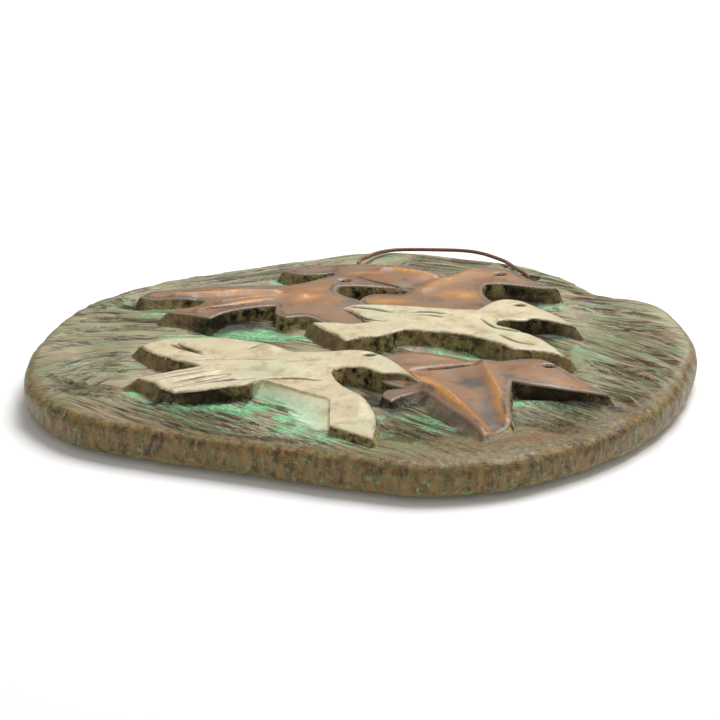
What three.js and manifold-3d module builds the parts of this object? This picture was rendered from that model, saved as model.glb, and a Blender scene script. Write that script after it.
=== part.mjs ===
// Decorative wall plaque: a round stoneware slab carved with a flock of five birds in flight,
// hung by a cord that is knotted behind two holes near the top edge.
// Frame: the plaque lies on its back, face up. +Z points out of the carved face, +Y towards the
// edge that hangs uppermost, +X the way the birds fly. The origin is the middle of the flat back.
import * as THREE from 'three';
import { mergeVertices } from 'three/addons/utils/BufferGeometryUtils.js';
import Module from 'manifold-3d';

const wasm = await Module();
wasm.setup();

// Slab, in millimetres
const plaqueRadius = 192.5;      // mean distance from the middle to the rim
const slabThickness = 22;        // flat back to the ground between the birds
const shoulderDrop = 7;          // height of the rounded edge between rim and face
const shoulderReach = 6;         // how far the rounded edge runs in from the rim
const footInset = 15;            // how far the edge rounds in to the back
const footHeight = 5;            // height of that rounding

// Birds
const flockSpan = 274;           // left wing tip to the foremost beak
const birdLift = 8;              // a level back above the ground
const birdRoot = 6;              // how deep a bird's body reaches into the slab
const edgeFall = 1.4;            // how far a bird's top falls away at its outline
const edgeWidth = 6;             // over this width
const birdGrid = 10;             // spacing of the points that shape a bird's top
const outlineStep = 8;           // length of a straight piece of a curved outline

// Carving
const hollowDepth = 5;           // deepest hollow dug into the ground beside the birds
const grooveWidth = 3.4;         // a groove combed into the ground
const grooveDepth = 1.5;
const grooveStep = 20;           // length of a straight piece of a groove
const featherWidth = 2.2;        // a line cut between two feathers
const featherDepth = 0.9;
const featherStep = 16;          // length of a straight piece of a feather line
const eyeLength = 7;
const eyeDepth = 1;

// Hanging cord
const cordDiameter = 2.5;
const cordClearance = 0.3;       // gap between the cord, its knots and the stoneware
const holeDiameter = 8;
const mouthDiameter = 12;        // the hole opens out to this at the face
const mouthDepth = 5;
const pocketDiameter = 16;       // round recess in the back that takes a knot
const pocketDepth = 9;
const knotDiameter = 10;
const knotHeight = 6.5;
const leftHole = [-7, 161];
const rightHole = [104.5, 141];

const cordSides = 8;
const rimSides = 60;
const lap = 1;                   // cutters run this far past the faces they cut

// Joins a geometry's shared points, so that it is one closed solid.
function solid(geometry) {
  const bare = geometry.clone();
  bare.deleteAttribute('normal');
  bare.deleteAttribute('uv');
  const joined = mergeVertices(bare, 1e-4);
  const vertProperties = new Float32Array(joined.attributes.position.array);
  const triVerts = new Uint32Array(joined.index.array);
  return new wasm.Manifold(new wasm.Mesh({ numProp: 3, vertProperties, triVerts }));
}

function geometryOf(body) {
  const { vertProperties, triVerts, numProp } = body.getMesh();
  const positions = new Float32Array((vertProperties.length / numProp) * 3);
  for (let i = 0; i < positions.length / 3; i += 1) {
    positions.set(vertProperties.subarray(i * numProp, i * numProp + 3), i * 3);
  }
  const geometry = new THREE.BufferGeometry();
  geometry.setAttribute('position', new THREE.BufferAttribute(positions, 3));
  geometry.setIndex(new THREE.BufferAttribute(new Uint32Array(triVerts), 1));
  geometry.computeVertexNormals();
  return geometry;
}

function meshFrom(points, faces) {
  const geometry = new THREE.BufferGeometry();
  geometry.setAttribute('position', new THREE.Float32BufferAttribute(points.flat(), 3));
  geometry.setIndex(faces.flat());
  return geometry;
}

// A smooth line through points [x, y], cut into pieces of about the given length.
function smooth(points, step) {
  const curve = new THREE.CatmullRomCurve3(
    points.map(([x, y, z = 0]) => new THREE.Vector3(x, y, z)), false, 'centripetal');
  return curve.getSpacedPoints(Math.max(1, Math.round(curve.getLength() / step)));
}

// Rim: distance from the middle, as a share of the mean radius, at angles counter-clockwise from +X
const rim = [
  [0, 1.01], [14, 1.03], [25, 1.05], [30, 1.03], [34, 0.98], [40, 0.965], [46, 0.995],
  [54, 1.035], [65, 1.065], [84, 1.08], [93, 1.06], [100, 1.02], [110, 1.0], [121, 0.985],
  [130, 1.0], [140, 1.025], [155, 1.04], [180, 1.04], [197, 1.072], [208, 1.07], [216, 1.045],
  [224, 0.995], [233, 0.945], [248, 0.91], [258, 0.925], [267, 0.96], [278, 1.02], [290, 1.04],
  [304, 1.02], [318, 1.0], [336, 0.985],
];

const rimCurve = new THREE.CatmullRomCurve3(rim.map(([degrees, share]) => {
  const angle = THREE.MathUtils.degToRad(degrees);
  return new THREE.Vector3(Math.cos(angle), Math.sin(angle), 0).multiplyScalar(plaqueRadius * share);
}), true, 'centripetal');

// Slab: the rim's outline drawn in at the foot and rounded over at the shoulder
function makeSlab() {
  const edge = [[footInset, 0], [footInset * 0.35, footHeight * 0.3], [footInset * 0.05, footHeight * 0.75]];
  const shoulderSteps = 3;
  for (let i = 0; i <= shoulderSteps; i += 1) {
    const turn = (i / shoulderSteps) * Math.PI / 2;
    const inset = shoulderReach * (1 - Math.cos(turn));
    edge.push([inset, slabThickness - shoulderDrop * (1 - Math.sin(turn))]);
  }
  const outline = rimCurve.getSpacedPoints(rimSides).slice(0, rimSides);
  const points = [];
  for (const [inset, z] of edge) {
    for (const p of outline) {
      const share = 1 - inset / p.length();
      points.push([p.x * share, p.y * share, z]);
    }
  }
  const faces = [];
  for (let ring = 0; ring < edge.length - 1; ring += 1) {
    for (let i = 0; i < rimSides; i += 1) {
      const j = (i + 1) % rimSides;
      const low = ring * rimSides;
      const high = low + rimSides;
      faces.push([low + i, low + j, high + j], [low + i, high + j, high + i]);
    }
  }
  const back = points.push([0, 0, 0]) - 1;
  const face = points.push([0, 0, slabThickness]) - 1;
  const last = (edge.length - 1) * rimSides;
  for (let i = 0; i < rimSides; i += 1) {
    const j = (i + 1) % rimSides;
    faces.push([back, j, i], [face, last + i, last + j]);
  }
  return solid(meshFrom(points, faces));
}

// Birds. Each is drawn on the flock's own sheet, where the flock is 274 units long, and scaled to
// its span. outline holds the stretches between its corners, counter-clockwise from the beak or
// clockwise; backs holds heights of its top, as shares of the lift; ridges are raised lines and
// dips are sunken panels, as [height share, width, points]; feathers are cut lines.
const sheet = flockSpan / 274;

const foremost = {
  outline: {
    crown: [[133, -102], [129, -92], [118, -76], [108, -59], [99, -47], [88, -45], [76, -47],
      [64, -48]],
    farWing: [[64, -48], [57, -38], [43, -29], [24, -22], [4, -26]],
    hidden: [[4, -26], [-4, -40], [8, -70], [20, -79]],
    tail: [[20, -79], [9, -82], [7, -90], [12, -99]],
    tailRear: [[12, -99], [18, -92], [29, -88]],
    nearWingRear: [[29, -88], [38, -108], [50, -131], [61, -155]],
    nearWingFront: [[61, -155], [69, -148], [76, -138], [77, -120], [78, -96], [80, -80]],
    throat: [[80, -80], [90, -86], [108, -92], [123, -97], [133, -102]],
  },
  backs: [[95, -60, 1.2], [128, -98, 0.8], [60, -60, 1.05], [30, -40, 0.75], [5, -30, 0.6],
    [10, -95, 0.5], [40, -95, 0.9], [60, -130, 0.6], [62, -158, 0.15]],
  ridges: [[0.2, 9, [[31, -79], [45, -101], [54, -130], [61, -155]]],
    [0.15, 8, [[66, -50], [70, -85], [74, -135]]]],
  dips: [[0.12, 9, [[48, -66], [58, -100], [64, -134]]]],
  feathers: [[[66, -48], [52, -62], [35, -78]]],
  eye: [101, -57],
};

const leading = {
  outline: {
    crown: [[28, -80], [20, -60], [9, -42], [0, -32], [-10, -29], [-26, -31], [-43, -31]],
    farWingFront: [[-43, -31], [-60, -14], [-80, -4], [-105, -1], [-124, -4], [-134, -13]],
    farWingRear: [[-134, -13], [-124, -29], [-110, -43], [-97, -54]],
    tailFar: [[-97, -54], [-114, -62], [-131, -71]],
    tailEnd: [[-131, -71], [-121, -81], [-117, -89], [-109, -97]],
    tailNear: [[-109, -97], [-96, -95], [-80, -89], [-70, -86], [-64, -79]],
    nearWingRear: [[-64, -79], [-69, -96], [-70, -110]],
    nearWingEnd: [[-70, -110], [-58, -116], [-40, -129], [-22, -144], [1, -163]],
    nearWingFront: [[1, -163], [3, -142], [2, -124], [-3, -109], [-12, -94], [-19, -78],
      [-21, -67], [-14, -59]],
    throat: [[-14, -59], [-3, -60], [5, -66], [19, -69], [28, -80]],
  },
  backs: [[0, -45, 1.2], [22, -68, 0.95], [-40, -55, 1.12], [-90, -25, 1], [-130, -15, 0.8],
    [-75, -68, 1], [-120, -80, 0.85], [-10, -100, 0.95], [-3, -150, 0.45], [-45, -108, 0.75],
    [-30, -128, 0.45]],
  ridges: [[0.1, 6, [[-70, -66], [-95, -68], [-124, -73]]],
    [0.1, 6, [[-78, -78], [-98, -84], [-116, -88]]]],
  dips: [[0.22, 10, [[-62, -98], [-44, -108], [-28, -118]]]],
  feathers: [[[-95, -58], [-108, -63], [-123, -69]], [[-70, -62], [-95, -66], [-122, -78]],
    [[-80, -71], [-100, -79], [-117, -87]], [[-76, -77], [-95, -85], [-112, -92]],
    [[-96, -34], [-106, -24], [-117, -14]], [[-84, -30], [-94, -20], [-104, -12]],
    [[-75, -75], [-55, -72], [-40, -79], [-25, -80]],
    [[-62, -83], [-45, -94], [-24, -109]], [[-22, -110], [-21, -124], [-24, -136]]],
  eye: [0, -37],
};

const middle = {
  outline: {
    crown: [[123, 20], [115, 37], [103, 52], [93, 65], [84, 69], [77, 65], [66, 49]],
    farWingFront: [[66, 49], [50, 51], [30, 57], [10, 62], [-6, 62], [-16, 57]],
    farWingRear: [[-16, 57], [-9, 47], [-5, 38], [0, 27]],
    tailFar: [[0, 27], [-12, 24], [-22, 27], [-34, 27]],
    tailEnd: [[-34, 27], [-26, 12], [-18, 1], [-14, -8]],
    belly: [[-14, -8], [-6, -3], [8, 1], [20, 11], [34, 8], [50, 4], [66, -3], [76, -12], [84, -22]],
    nearWingRear: [[84, -22], [96, -24], [106, -28], [116, -36]],
    nearWingFront: [[116, -36], [108, -20], [102, -8], [94, 4], [83, 14], [76, 23], [78, 29]],
    throat: [[78, 29], [94, 29], [98, 33], [110, 29], [123, 20]],
  },
  backs: [[90, 50, 1.2], [118, 30, 0.95], [50, 30, 1.1], [0, 50, 1], [-12, 55, 0.9], [-20, 15, 1],
    [90, -5, 0.95], [112, -30, 0.75]],
  ridges: [[0.1, 8, [[-8, 56], [20, 52], [46, 44]]]],
  dips: [[0.08, 8, [[30, 22], [55, 20], [75, 8]]]],
  feathers: [[[-12, 51], [14, 46], [44, 34]], [[-2, 30], [10, 31], [20, 27]],
    [[57, 17], [72, 2], [80, -10]]],
  eye: [91, 58],
};

const left = {
  outline: {
    crown: [[20, 92], [11, 101], [-2, 110], [-13, 120], [-21, 120], [-32, 111], [-42, 104],
      [-50, 100]],
    farWingFront: [[-50, 100], [-70, 102], [-95, 100], [-120, 97], [-136, 93], [-142, 82]],
    farWingRear: [[-142, 82], [-136, 77], [-120, 76], [-106, 75]],
    wingNotch: [[-106, 75], [-101, 70], [-104, 62]],
    tailFar: [[-104, 62], [-114, 56], [-123, 49]],
    tailEnd: [[-123, 49], [-110, 44], [-96, 37]],
    tailNear: [[-96, 37], [-86, 49], [-72, 56], [-57, 60]],
    nearWingRear: [[-57, 60], [-56, 44], [-50, 37]],
    nearWingEnd: [[-50, 37], [-42, 40], [-36, 40], [-24, 29]],
    hidden: [[-24, 29], [-8, 22], [6, 40], [-1, 62]],
    chest: [[-1, 62], [-6, 72], [-16, 80], [-20, 88], [-19, 96]],
    throat: [[-19, 96], [-4, 97], [10, 96], [20, 92]],
  },
  backs: [[-12, 108, 1.2], [15, 96, 1], [-40, 80, 1.12], [-90, 90, 1], [-138, 85, 0.8],
    [-110, 52, 0.9], [-45, 50, 0.95], [-15, 40, 0.6]],
  ridges: [[0.18, 7, [[-122, 81], [-90, 84], [-60, 86]]], [0.18, 7, [[-85, 66], [-55, 78], [-38, 85]]],
    [0.15, 7, [[-100, 53], [-78, 62]]]],
  dips: [[0.12, 6, [[-100, 78], [-75, 80], [-55, 82]]]],
  feathers: [[[-114, 92], [-90, 92], [-65, 91]], [[-108, 50], [-88, 58], [-64, 68]]],
  eye: [-16, 109],
};

const topmost = {
  outline: {
    crown: [[118, 96], [110, 105], [99, 117], [89, 132], [76, 138], [66, 135], [56, 127], [49, 121]],
    farWingFront: [[49, 121], [43, 128], [36, 136], [24, 144], [10, 148], [-2, 150], [-20, 150],
      [-40, 146], [-55, 138]],
    farWingRear: [[-55, 138], [-45, 131], [-32, 130], [-22, 132]],
    hidden: [[-22, 132], [-20, 118], [0, 106], [24, 98], [22, 92]],
    belly: [[22, 92], [2, 92], [-6, 80], [0, 60]],
    under: [[0, 60], [30, 50], [60, 42], [80, 60]],
    chest: [[80, 60], [75, 72], [71, 86], [71, 96], [73, 103]],
    throat: [[73, 103], [88, 102], [104, 98], [118, 96]],
  },
  backs: [[80, 122, 1.2], [112, 100, 0.95], [45, 105, 1.05], [0, 140, 0.95], [-50, 133, 0.8],
    [15, 75, 0.5], [60, 70, 0.9]],
  ridges: [[0.18, 9, [[5, 140], [24, 133], [40, 122]]], [0.15, 9, [[30, 86], [48, 98], [70, 118]]]],
  dips: [[0.15, 10, [[28, 104], [48, 112], [60, 124]]]],
  feathers: [[[-12, 122], [4, 112], [22, 101]]],
  eye: [82, 127],
};

function outlineOf(bird) {
  const stretches = Object.values(bird.outline);
  const points = stretches.flatMap((stretch) => {
    const line = smooth(stretch.map(([x, y]) => [x * sheet, y * sheet]), outlineStep);
    return line.slice(0, -1);
  });
  return points.map((p) => new THREE.Vector2(p.x, p.y));
}

function distanceToLine(x, y, points, closed = false) {
  let nearest = Infinity;
  const count = closed ? points.length : points.length - 1;
  for (let i = 0; i < count; i += 1) {
    const [ax, ay] = points[i];
    const [bx, by] = points[(i + 1) % points.length];
    const along = ((x - ax) * (bx - ax) + (y - ay) * (by - ay)) / ((bx - ax) ** 2 + (by - ay) ** 2);
    const t = THREE.MathUtils.clamp(along, 0, 1);
    nearest = Math.min(nearest, Math.hypot(x - ax - t * (bx - ax), y - ay - t * (by - ay)));
  }
  return nearest;
}

// Height of a bird's top at a point: its backs blended by distance, with ridges, dips and the
// fall towards its outline.
function topOf(bird) {
  const border = outlineOf(bird).map((p) => [p.x / sheet, p.y / sheet]);
  const blend = 200;
  const bump = (distance, width) => Math.exp(-2 * (distance / width) ** 2);
  return (px, py) => {
    const x = px / sheet;
    const y = py / sheet;
    let weights = 0;
    let share = 0;
    for (const [bx, by, back] of bird.backs) {
      const weight = ((x - bx) ** 2 + (y - by) ** 2 + blend) ** -1.5;
      weights += weight;
      share += weight * back;
    }
    share /= weights;
    for (const [height, width, line] of bird.ridges) {
      share += height * bump(distanceToLine(x, y, line), width);
    }
    for (const [depth, width, line] of bird.dips) {
      share -= depth * bump(distanceToLine(x, y, line), width);
    }
    const inFromEdge = Math.min(1, distanceToLine(x, y, border, true) * sheet / edgeWidth);
    return slabThickness + birdLift * share - edgeFall * (1 - inFromEdge) ** 2;
  };
}

// A block whose top follows a height, over the box that holds an outline
function blockUnder(height, outline) {
  const box = new THREE.Box2().setFromPoints(outline).expandByScalar(lap);
  const size = box.getSize(new THREE.Vector2());
  const columns = Math.ceil(size.x / birdGrid);
  const rows = Math.ceil(size.y / birdGrid);
  const points = [];
  const faces = [];
  const at = (i, j, top) => ((j * (columns + 1)) + i) * 2 + (top ? 1 : 0);
  for (let j = 0; j <= rows; j += 1) {
    for (let i = 0; i <= columns; i += 1) {
      const x = box.min.x + size.x * i / columns;
      const y = box.min.y + size.y * j / rows;
      points.push([x, y, slabThickness - birdRoot], [x, y, height(x, y)]);
    }
  }
  for (let j = 0; j < rows; j += 1) {
    for (let i = 0; i < columns; i += 1) {
      const [a, b, c, d] = [[i, j], [i + 1, j], [i + 1, j + 1], [i, j + 1]];
      faces.push([at(...a, true), at(...b, true), at(...c, true)]);
      faces.push([at(...a, true), at(...c, true), at(...d, true)]);
      faces.push([at(...a), at(...c), at(...b)], [at(...a), at(...d), at(...c)]);
    }
  }
  const wall = (from, to) => {
    faces.push([at(...from), at(...to), at(...to, true)]);
    faces.push([at(...from), at(...to, true), at(...from, true)]);
  };
  for (let i = 0; i < columns; i += 1) {
    wall([i, 0], [i + 1, 0]);
    wall([i + 1, rows], [i, rows]);
  }
  for (let j = 0; j < rows; j += 1) {
    wall([columns, j], [columns, j + 1]);
    wall([0, j + 1], [0, j]);
  }
  return solid(meshFrom(points, faces));
}

function prism(outline, low, high) {
  const geometry = new THREE.ExtrudeGeometry(new THREE.Shape(outline), {
    depth: high - low, bevelEnabled: false, steps: 1,
  });
  return solid(geometry.translate(0, 0, low));
}

// A cut of V section along a line, running out to nothing at both ends
function stroke(line, width, depth, surface) {
  const points = [];
  const faces = [];
  line.forEach((p, i) => {
    const before = line[Math.max(0, i - 1)];
    const after = line[Math.min(line.length - 1, i + 1)];
    const across = new THREE.Vector2(before.y - after.y, after.x - before.x).normalize();
    const swell = Math.sin(Math.PI * (0.08 + 0.84 * i / (line.length - 1)));
    const half = (width / 2) * swell * (1 + lap / depth);
    const z = surface(p.x, p.y);
    points.push([p.x - across.x * half, p.y - across.y * half, z + lap * swell]);
    points.push([p.x + across.x * half, p.y + across.y * half, z + lap * swell]);
    points.push([p.x, p.y, z - depth * swell]);
  });
  for (let i = 0; i < line.length - 1; i += 1) {
    const a = i * 3;
    const b = a + 3;
    for (const [from, to] of [[0, 1], [1, 2], [2, 0]]) {
      faces.push([a + from, b + from, b + to], [a + from, b + to, a + to]);
    }
  }
  const end = (line.length - 1) * 3;
  faces.push([0, 1, 2], [end, end + 2, end + 1]);
  return solid(meshFrom(points, faces));
}

// An eye: a shallow oval dimple
function eyeOf(bird, top) {
  const [x, y] = bird.eye.map((value) => value * sheet);
  const dimple = new THREE.SphereGeometry(1, 10, 6).rotateX(Math.PI / 2);
  dimple.scale(eyeLength / 2, eyeLength * 0.4, eyeDepth).rotateZ(-Math.PI / 5);
  return solid(dimple.translate(x, y, top(x, y)));
}

function makeBird(bird) {
  const outline = outlineOf(bird);
  const top = topOf(bird);
  const highest = slabThickness + birdLift * 2;
  let body = prism(outline, slabThickness - birdRoot + lap, highest).intersect(blockUnder(top, outline));
  for (const points of bird.feathers) {
    const line = smooth(points.map(([x, y]) => [x * sheet, y * sheet]), featherStep);
    body = body.subtract(stroke(line, featherWidth, featherDepth, top));
  }
  return body.subtract(eyeOf(bird, top));
}

// Hollows where the ground is dug away beside the birds: [x, y, length, width, turn, share of
// hollowDepth], on the flock's sheet, the turn in degrees
const hollows = [
  [0, -80, 52, 34, -50, 1], [-100, -112, 74, 22, -14, 0.6], [-118, -48, 36, 26, 30, 0.6],
  [-76, 30, 70, 30, -6, 0.7], [-128, 66, 36, 14, 0, 0.5], [104, 2, 40, 30, 50, 0.9],
  [50, -8, 90, 20, -4, 0.7], [104, -112, 60, 24, -12, 0.6], [96, 88, 56, 18, -4, 0.8],
  [-46, 120, 30, 12, 0, 0.5], [24, -124, 40, 26, -50, 0.6],
];

function dig([x, y, length, width, turn, share]) {
  const bowl = new THREE.SphereGeometry(1, 12, 6).rotateX(Math.PI / 2);
  bowl.scale(length / 2 * sheet, width / 2 * sheet, share * hollowDepth);
  bowl.rotateZ(THREE.MathUtils.degToRad(turn));
  return solid(bowl.translate(x * sheet, y * sheet, slabThickness));
}

// Grooves combed into the ground like wind: [count, first groove, last groove], the ones between
// shared out evenly. Drawn for a plaque of mean radius 192.5 and scaled to its own.
const field = plaqueRadius / 192.5;
const combings = [
  [2, [[-120, 36], [-143, 37], [-170, 31], [-184, 22]], [[-126, 21], [-151, 16], [-170, 10], [-184, 2]]],
  [3, [[-130, 84], [-146, 90], [-160, 93]], [[-130, 55], [-146, 53], [-164, 56]]],
  [4, [[-142, -12], [-156, -13], [-168, -20], [-174, -34]],
    [[-141, -52], [-149, -53], [-156, -60], [-160, -70]]],
  [3, [[-136, -76], [-152, -70], [-166, -62], [-178, -48]],
    [[-134, -94], [-146, -88], [-158, -84], [-166, -80]]],
  [5, [[-68, -126], [-85, -115], [-104, -102], [-134, -84]],
    [[-20, -164], [-66, -150], [-104, -130], [-138, -106]]],
  [4, [[18, -100], [33, -114], [45, -129], [56, -144]], [[6, -134], [12, -143], [20, -153], [32, -162]]],
  [5, [[84, -92], [98, -96], [116, -108], [132, -122]],
    [[81, -130], [90, -134], [102, -142], [112, -148]]],
  [4, [[128, 76], [142, 73], [160, 67], [178, 55]], [[134, 45], [148, 35], [166, 17], [180, -10]]],
  [3, [[134, 34], [147, 24], [166, 2], [180, -24]], [[132, 6], [148, -14], [162, -38], [172, -62]]],
  [4, [[128, -26], [144, -38], [156, -54], [166, -76]],
    [[130, -80], [138, -89], [145, -99], [150, -108]]],
  [3, [[16, 184], [60, 168], [92, 152]], [[4, 166], [30, 160], [58, 148]]],
  [3, [[-12, 176], [-60, 164], [-116, 132]], [[-44, 158], [-84, 142], [-120, 112]]],
  [3, [[-104, 36], [-76, 20], [-36, 8]], [[-96, 10], [-70, 4], [-44, -12]]],
];

function combedGrooves([count, first, last]) {
  const level = () => slabThickness;
  return Array.from({ length: count }, (_, i) => {
    const t = i / (count - 1);
    const points = first.map(([x, y], k) => [
      THREE.MathUtils.lerp(x, last[k][0], t) * field, THREE.MathUtils.lerp(y, last[k][1], t) * field,
    ]);
    return stroke(smooth(points, grooveStep), grooveWidth, grooveDepth, level);
  });
}

function cutHoleFor([x, y]) {
  const hole = new THREE.CylinderGeometry(holeDiameter / 2, holeDiameter / 2, slabThickness + 2 * lap, 12);
  hole.rotateX(Math.PI / 2).translate(x, y, slabThickness / 2);
  const mouthRise = mouthDepth + lap;
  const mouthTop = holeDiameter / 2 + (mouthDiameter - holeDiameter) / 2 * mouthRise / mouthDepth;
  const mouth = new THREE.CylinderGeometry(mouthTop, holeDiameter / 2, mouthRise, 12);
  mouth.rotateX(Math.PI / 2).translate(x, y, slabThickness - mouthDepth + mouthRise / 2);
  const pocket = new THREE.CylinderGeometry(pocketDiameter / 2, pocketDiameter / 2, pocketDepth + lap, 20);
  pocket.rotateX(Math.PI / 2).translate(x, y, (pocketDepth - lap) / 2);
  return solid(hole).add(solid(mouth)).add(solid(pocket));
}

function makePlaque() {
  let body = makeSlab();
  for (const hollow of hollows) body = body.subtract(dig(hollow));
  for (const combing of combings) {
    for (const groove of combedGrooves(combing)) body = body.subtract(groove);
  }
  for (const bird of [topmost, left, foremost, middle, leading]) body = body.add(makeBird(bird));
  for (const hole of [leftHole, rightHole]) body = body.subtract(cutHoleFor(hole));
  return body;
}

// Cord: from the left pocket up through its hole, over the ground and the rim, and back down the
// right hole. The points are the middle of the cord.
const onGround = slabThickness + cordDiameter / 2 + cordClearance;
const knotTop = pocketDepth - cordClearance;
const cordRoute = [
  [-7, 161, pocketDepth], [-7, 161, 15], [-6.9, 161.8, 21], [-6.5, 164.5, onGround + 1.5],
  [-5, 169.5, onGround + 2.6], [0.2, 177.6, onGround + 2.4], [4.8, 186.8, onGround + 1.8],
  [11.5, 195, onGround + 1], [19, 200, onGround + 0.4], [28.5, 202.2, onGround],
  [38, 202.6, onGround - 0.2], [47.4, 202, onGround - 0.2], [56.8, 200.8, onGround - 0.1],
  [66.1, 198.2, onGround], [75.3, 191.2, onGround + 0.3], [82.4, 182.8, onGround + 0.3],
  [89.2, 172.2, onGround + 0.5], [94.1, 157.5, onGround + 1], [97.4, 148.6, onGround + 1.3],
  [100.4, 144.6, onGround + 0.6], [102.9, 142.2, 20.4], [104.3, 141.1, 15], [104.5, 141, pocketDepth],
];

function makeCord() {
  const curve = new THREE.CatmullRomCurve3(
    cordRoute.map(([x, y, z]) => new THREE.Vector3(x, y, z)), false, 'centripetal');
  const section = new THREE.Shape(Array.from({ length: cordSides }, (_, i) => {
    const angle = (i + 0.5) * 2 * Math.PI / cordSides;
    return new THREE.Vector2(Math.cos(angle), Math.sin(angle)).multiplyScalar(cordDiameter / 2);
  }));
  return new THREE.ExtrudeGeometry(section, {
    steps: Math.round(curve.getLength() / (2.5 * cordDiameter)), extrudePath: curve, bevelEnabled: false,
  });
}

// Knot: a squat ball, flat where the cord comes out of it
function makeKnot([x, y]) {
  const profile = [];
  const steps = 5;
  for (let i = 0; i <= steps; i += 1) {
    const turn = -Math.PI / 2 + (i / steps) * Math.PI * 0.8;
    profile.push(new THREE.Vector2((knotDiameter / 2) * Math.cos(turn), (knotHeight / 2) * Math.sin(turn)));
  }
  profile[0].x = 0;
  const top = profile[steps].y;
  profile.push(new THREE.Vector2(0, top));
  const knot = new THREE.LatheGeometry(profile, 10).rotateX(Math.PI / 2);
  return knot.translate(x, y, knotTop - top);
}

const stoneware = new THREE.MeshStandardMaterial({ color: 0x6b5a4a, roughness: 0.55, metalness: 0 });
const waxedCord = new THREE.MeshStandardMaterial({ color: 0x35211b, roughness: 0.6, metalness: 0 });

const plaque = new THREE.Group();

function addMesh(name, geometry, material) {
  const mesh = new THREE.Mesh(geometry, material);
  mesh.name = name;
  plaque.add(mesh);
}

addMesh('plaque', geometryOf(makePlaque()), stoneware);
addMesh('hanging_cord', makeCord(), waxedCord);
addMesh('cord_knot_left', makeKnot(leftHole), waxedCord);
addMesh('cord_knot_right', makeKnot(rightHole), waxedCord);

export default plaque;
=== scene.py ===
# %% [markdown]
# A carved stoneware wall plaque. The real one is a round slab of clay, cut back round a flock of
# five flying birds, combed with a tool so that the ground looks like wind, glazed in brown,
# verdigris and ivory, and hung by a waxed cord. It lies on its back here, face up: +Z points out
# of the face, and +Y is the edge that hangs uppermost.

# %% The frame and the tools
import math

import bpy
import numpy as np
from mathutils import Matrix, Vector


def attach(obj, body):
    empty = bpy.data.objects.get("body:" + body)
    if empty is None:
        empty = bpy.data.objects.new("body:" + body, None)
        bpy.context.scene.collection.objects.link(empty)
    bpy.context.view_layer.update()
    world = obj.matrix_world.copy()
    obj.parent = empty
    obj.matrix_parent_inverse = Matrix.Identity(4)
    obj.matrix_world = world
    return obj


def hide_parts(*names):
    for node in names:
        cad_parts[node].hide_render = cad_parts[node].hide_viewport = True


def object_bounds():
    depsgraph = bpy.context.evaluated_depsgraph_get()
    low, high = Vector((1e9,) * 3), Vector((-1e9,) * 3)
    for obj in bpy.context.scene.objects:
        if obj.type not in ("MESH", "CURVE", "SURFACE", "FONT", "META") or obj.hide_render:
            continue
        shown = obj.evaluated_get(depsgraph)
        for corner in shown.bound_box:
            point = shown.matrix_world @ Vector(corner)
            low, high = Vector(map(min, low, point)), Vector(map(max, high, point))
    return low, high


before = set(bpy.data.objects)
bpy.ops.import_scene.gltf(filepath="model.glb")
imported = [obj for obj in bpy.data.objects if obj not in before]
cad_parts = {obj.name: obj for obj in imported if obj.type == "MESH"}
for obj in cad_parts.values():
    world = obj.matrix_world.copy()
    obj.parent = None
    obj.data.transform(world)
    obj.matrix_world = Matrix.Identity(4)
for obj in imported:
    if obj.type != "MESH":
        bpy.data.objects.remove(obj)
cad_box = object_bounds()
bpy.ops.object.select_all(action="DESELECT")

MM = 0.001
random = np.random.default_rng(7)
print("nodes:", sorted(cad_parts))

# %% [markdown]
# The camera comes first, because every shape is judged through it. A long lens from a metre and a
# half away, looking down a little under 19 degrees, gives the flat oval of the photograph. A
# shorter lens would swell the front of the rim.

# %% The camera
CAMERA_PLACE = (-0.00545, -1.51205, 0.5234)
LOOKING_DOWN = 18.6

camera_data = bpy.data.cameras.new("camera")
camera_data.lens = 135
camera_data.sensor_width = 36
camera_data.clip_end = 20
camera = bpy.data.objects.new("camera", camera_data)
camera.location = CAMERA_PLACE
camera.rotation_euler = (math.radians(90 - LOOKING_DOWN), 0, 0)
bpy.context.collection.objects.link(camera)
bpy.context.scene.camera = camera
print("camera looks down", LOOKING_DOWN, "degrees")

# %% [markdown]
# Two helpers shape nearly everything here. The first runs a smooth curve through a few given
# points, and spaces its points evenly. The second tells how far many points are from such
# a line at once, which is what a carving tool that follows the line needs to know.


# %% Smooth lines and distances to them
def smooth_line(points, step, closed=False):
    """A curve through the points, with points about step apart."""
    p = np.array(points, float)
    if closed:
        p = np.vstack([p[-1:], p, p[:2]])
    else:
        p = np.vstack([2 * p[0] - p[1], p, 2 * p[-1] - p[-2]])
    fine = []
    for i in range(1, len(p) - 2):
        p0, p1, p2, p3 = p[i - 1 : i + 3]
        t1 = np.linalg.norm(p1 - p0) ** 0.5
        t2 = t1 + np.linalg.norm(p2 - p1) ** 0.5
        t3 = t2 + np.linalg.norm(p3 - p2) ** 0.5
        t = np.linspace(t1, t2, 12, endpoint=False)[:, None]
        a1 = (t1 - t) / t1 * p0 + t / t1 * p1
        a2 = (t2 - t) / (t2 - t1) * p1 + (t - t1) / (t2 - t1) * p2
        a3 = (t3 - t) / (t3 - t2) * p2 + (t - t2) / (t3 - t2) * p3
        b1 = (t2 - t) / t2 * a1 + t / t2 * a2
        b2 = (t3 - t) / (t3 - t1) * a2 + (t - t1) / (t3 - t1) * a3
        fine.append((t2 - t) / (t2 - t1) * b1 + (t - t1) / (t2 - t1) * b2)
    fine = np.vstack(fine + [p[-2:-1]])
    along = np.concatenate([[0], np.cumsum(np.linalg.norm(np.diff(fine, axis=0), axis=1))])
    places = np.linspace(0, along[-1], max(2, round(along[-1] / step) + 1))
    return np.stack([np.interp(places, along, fine[:, k]) for k in range(p.shape[1])], axis=1)


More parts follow.
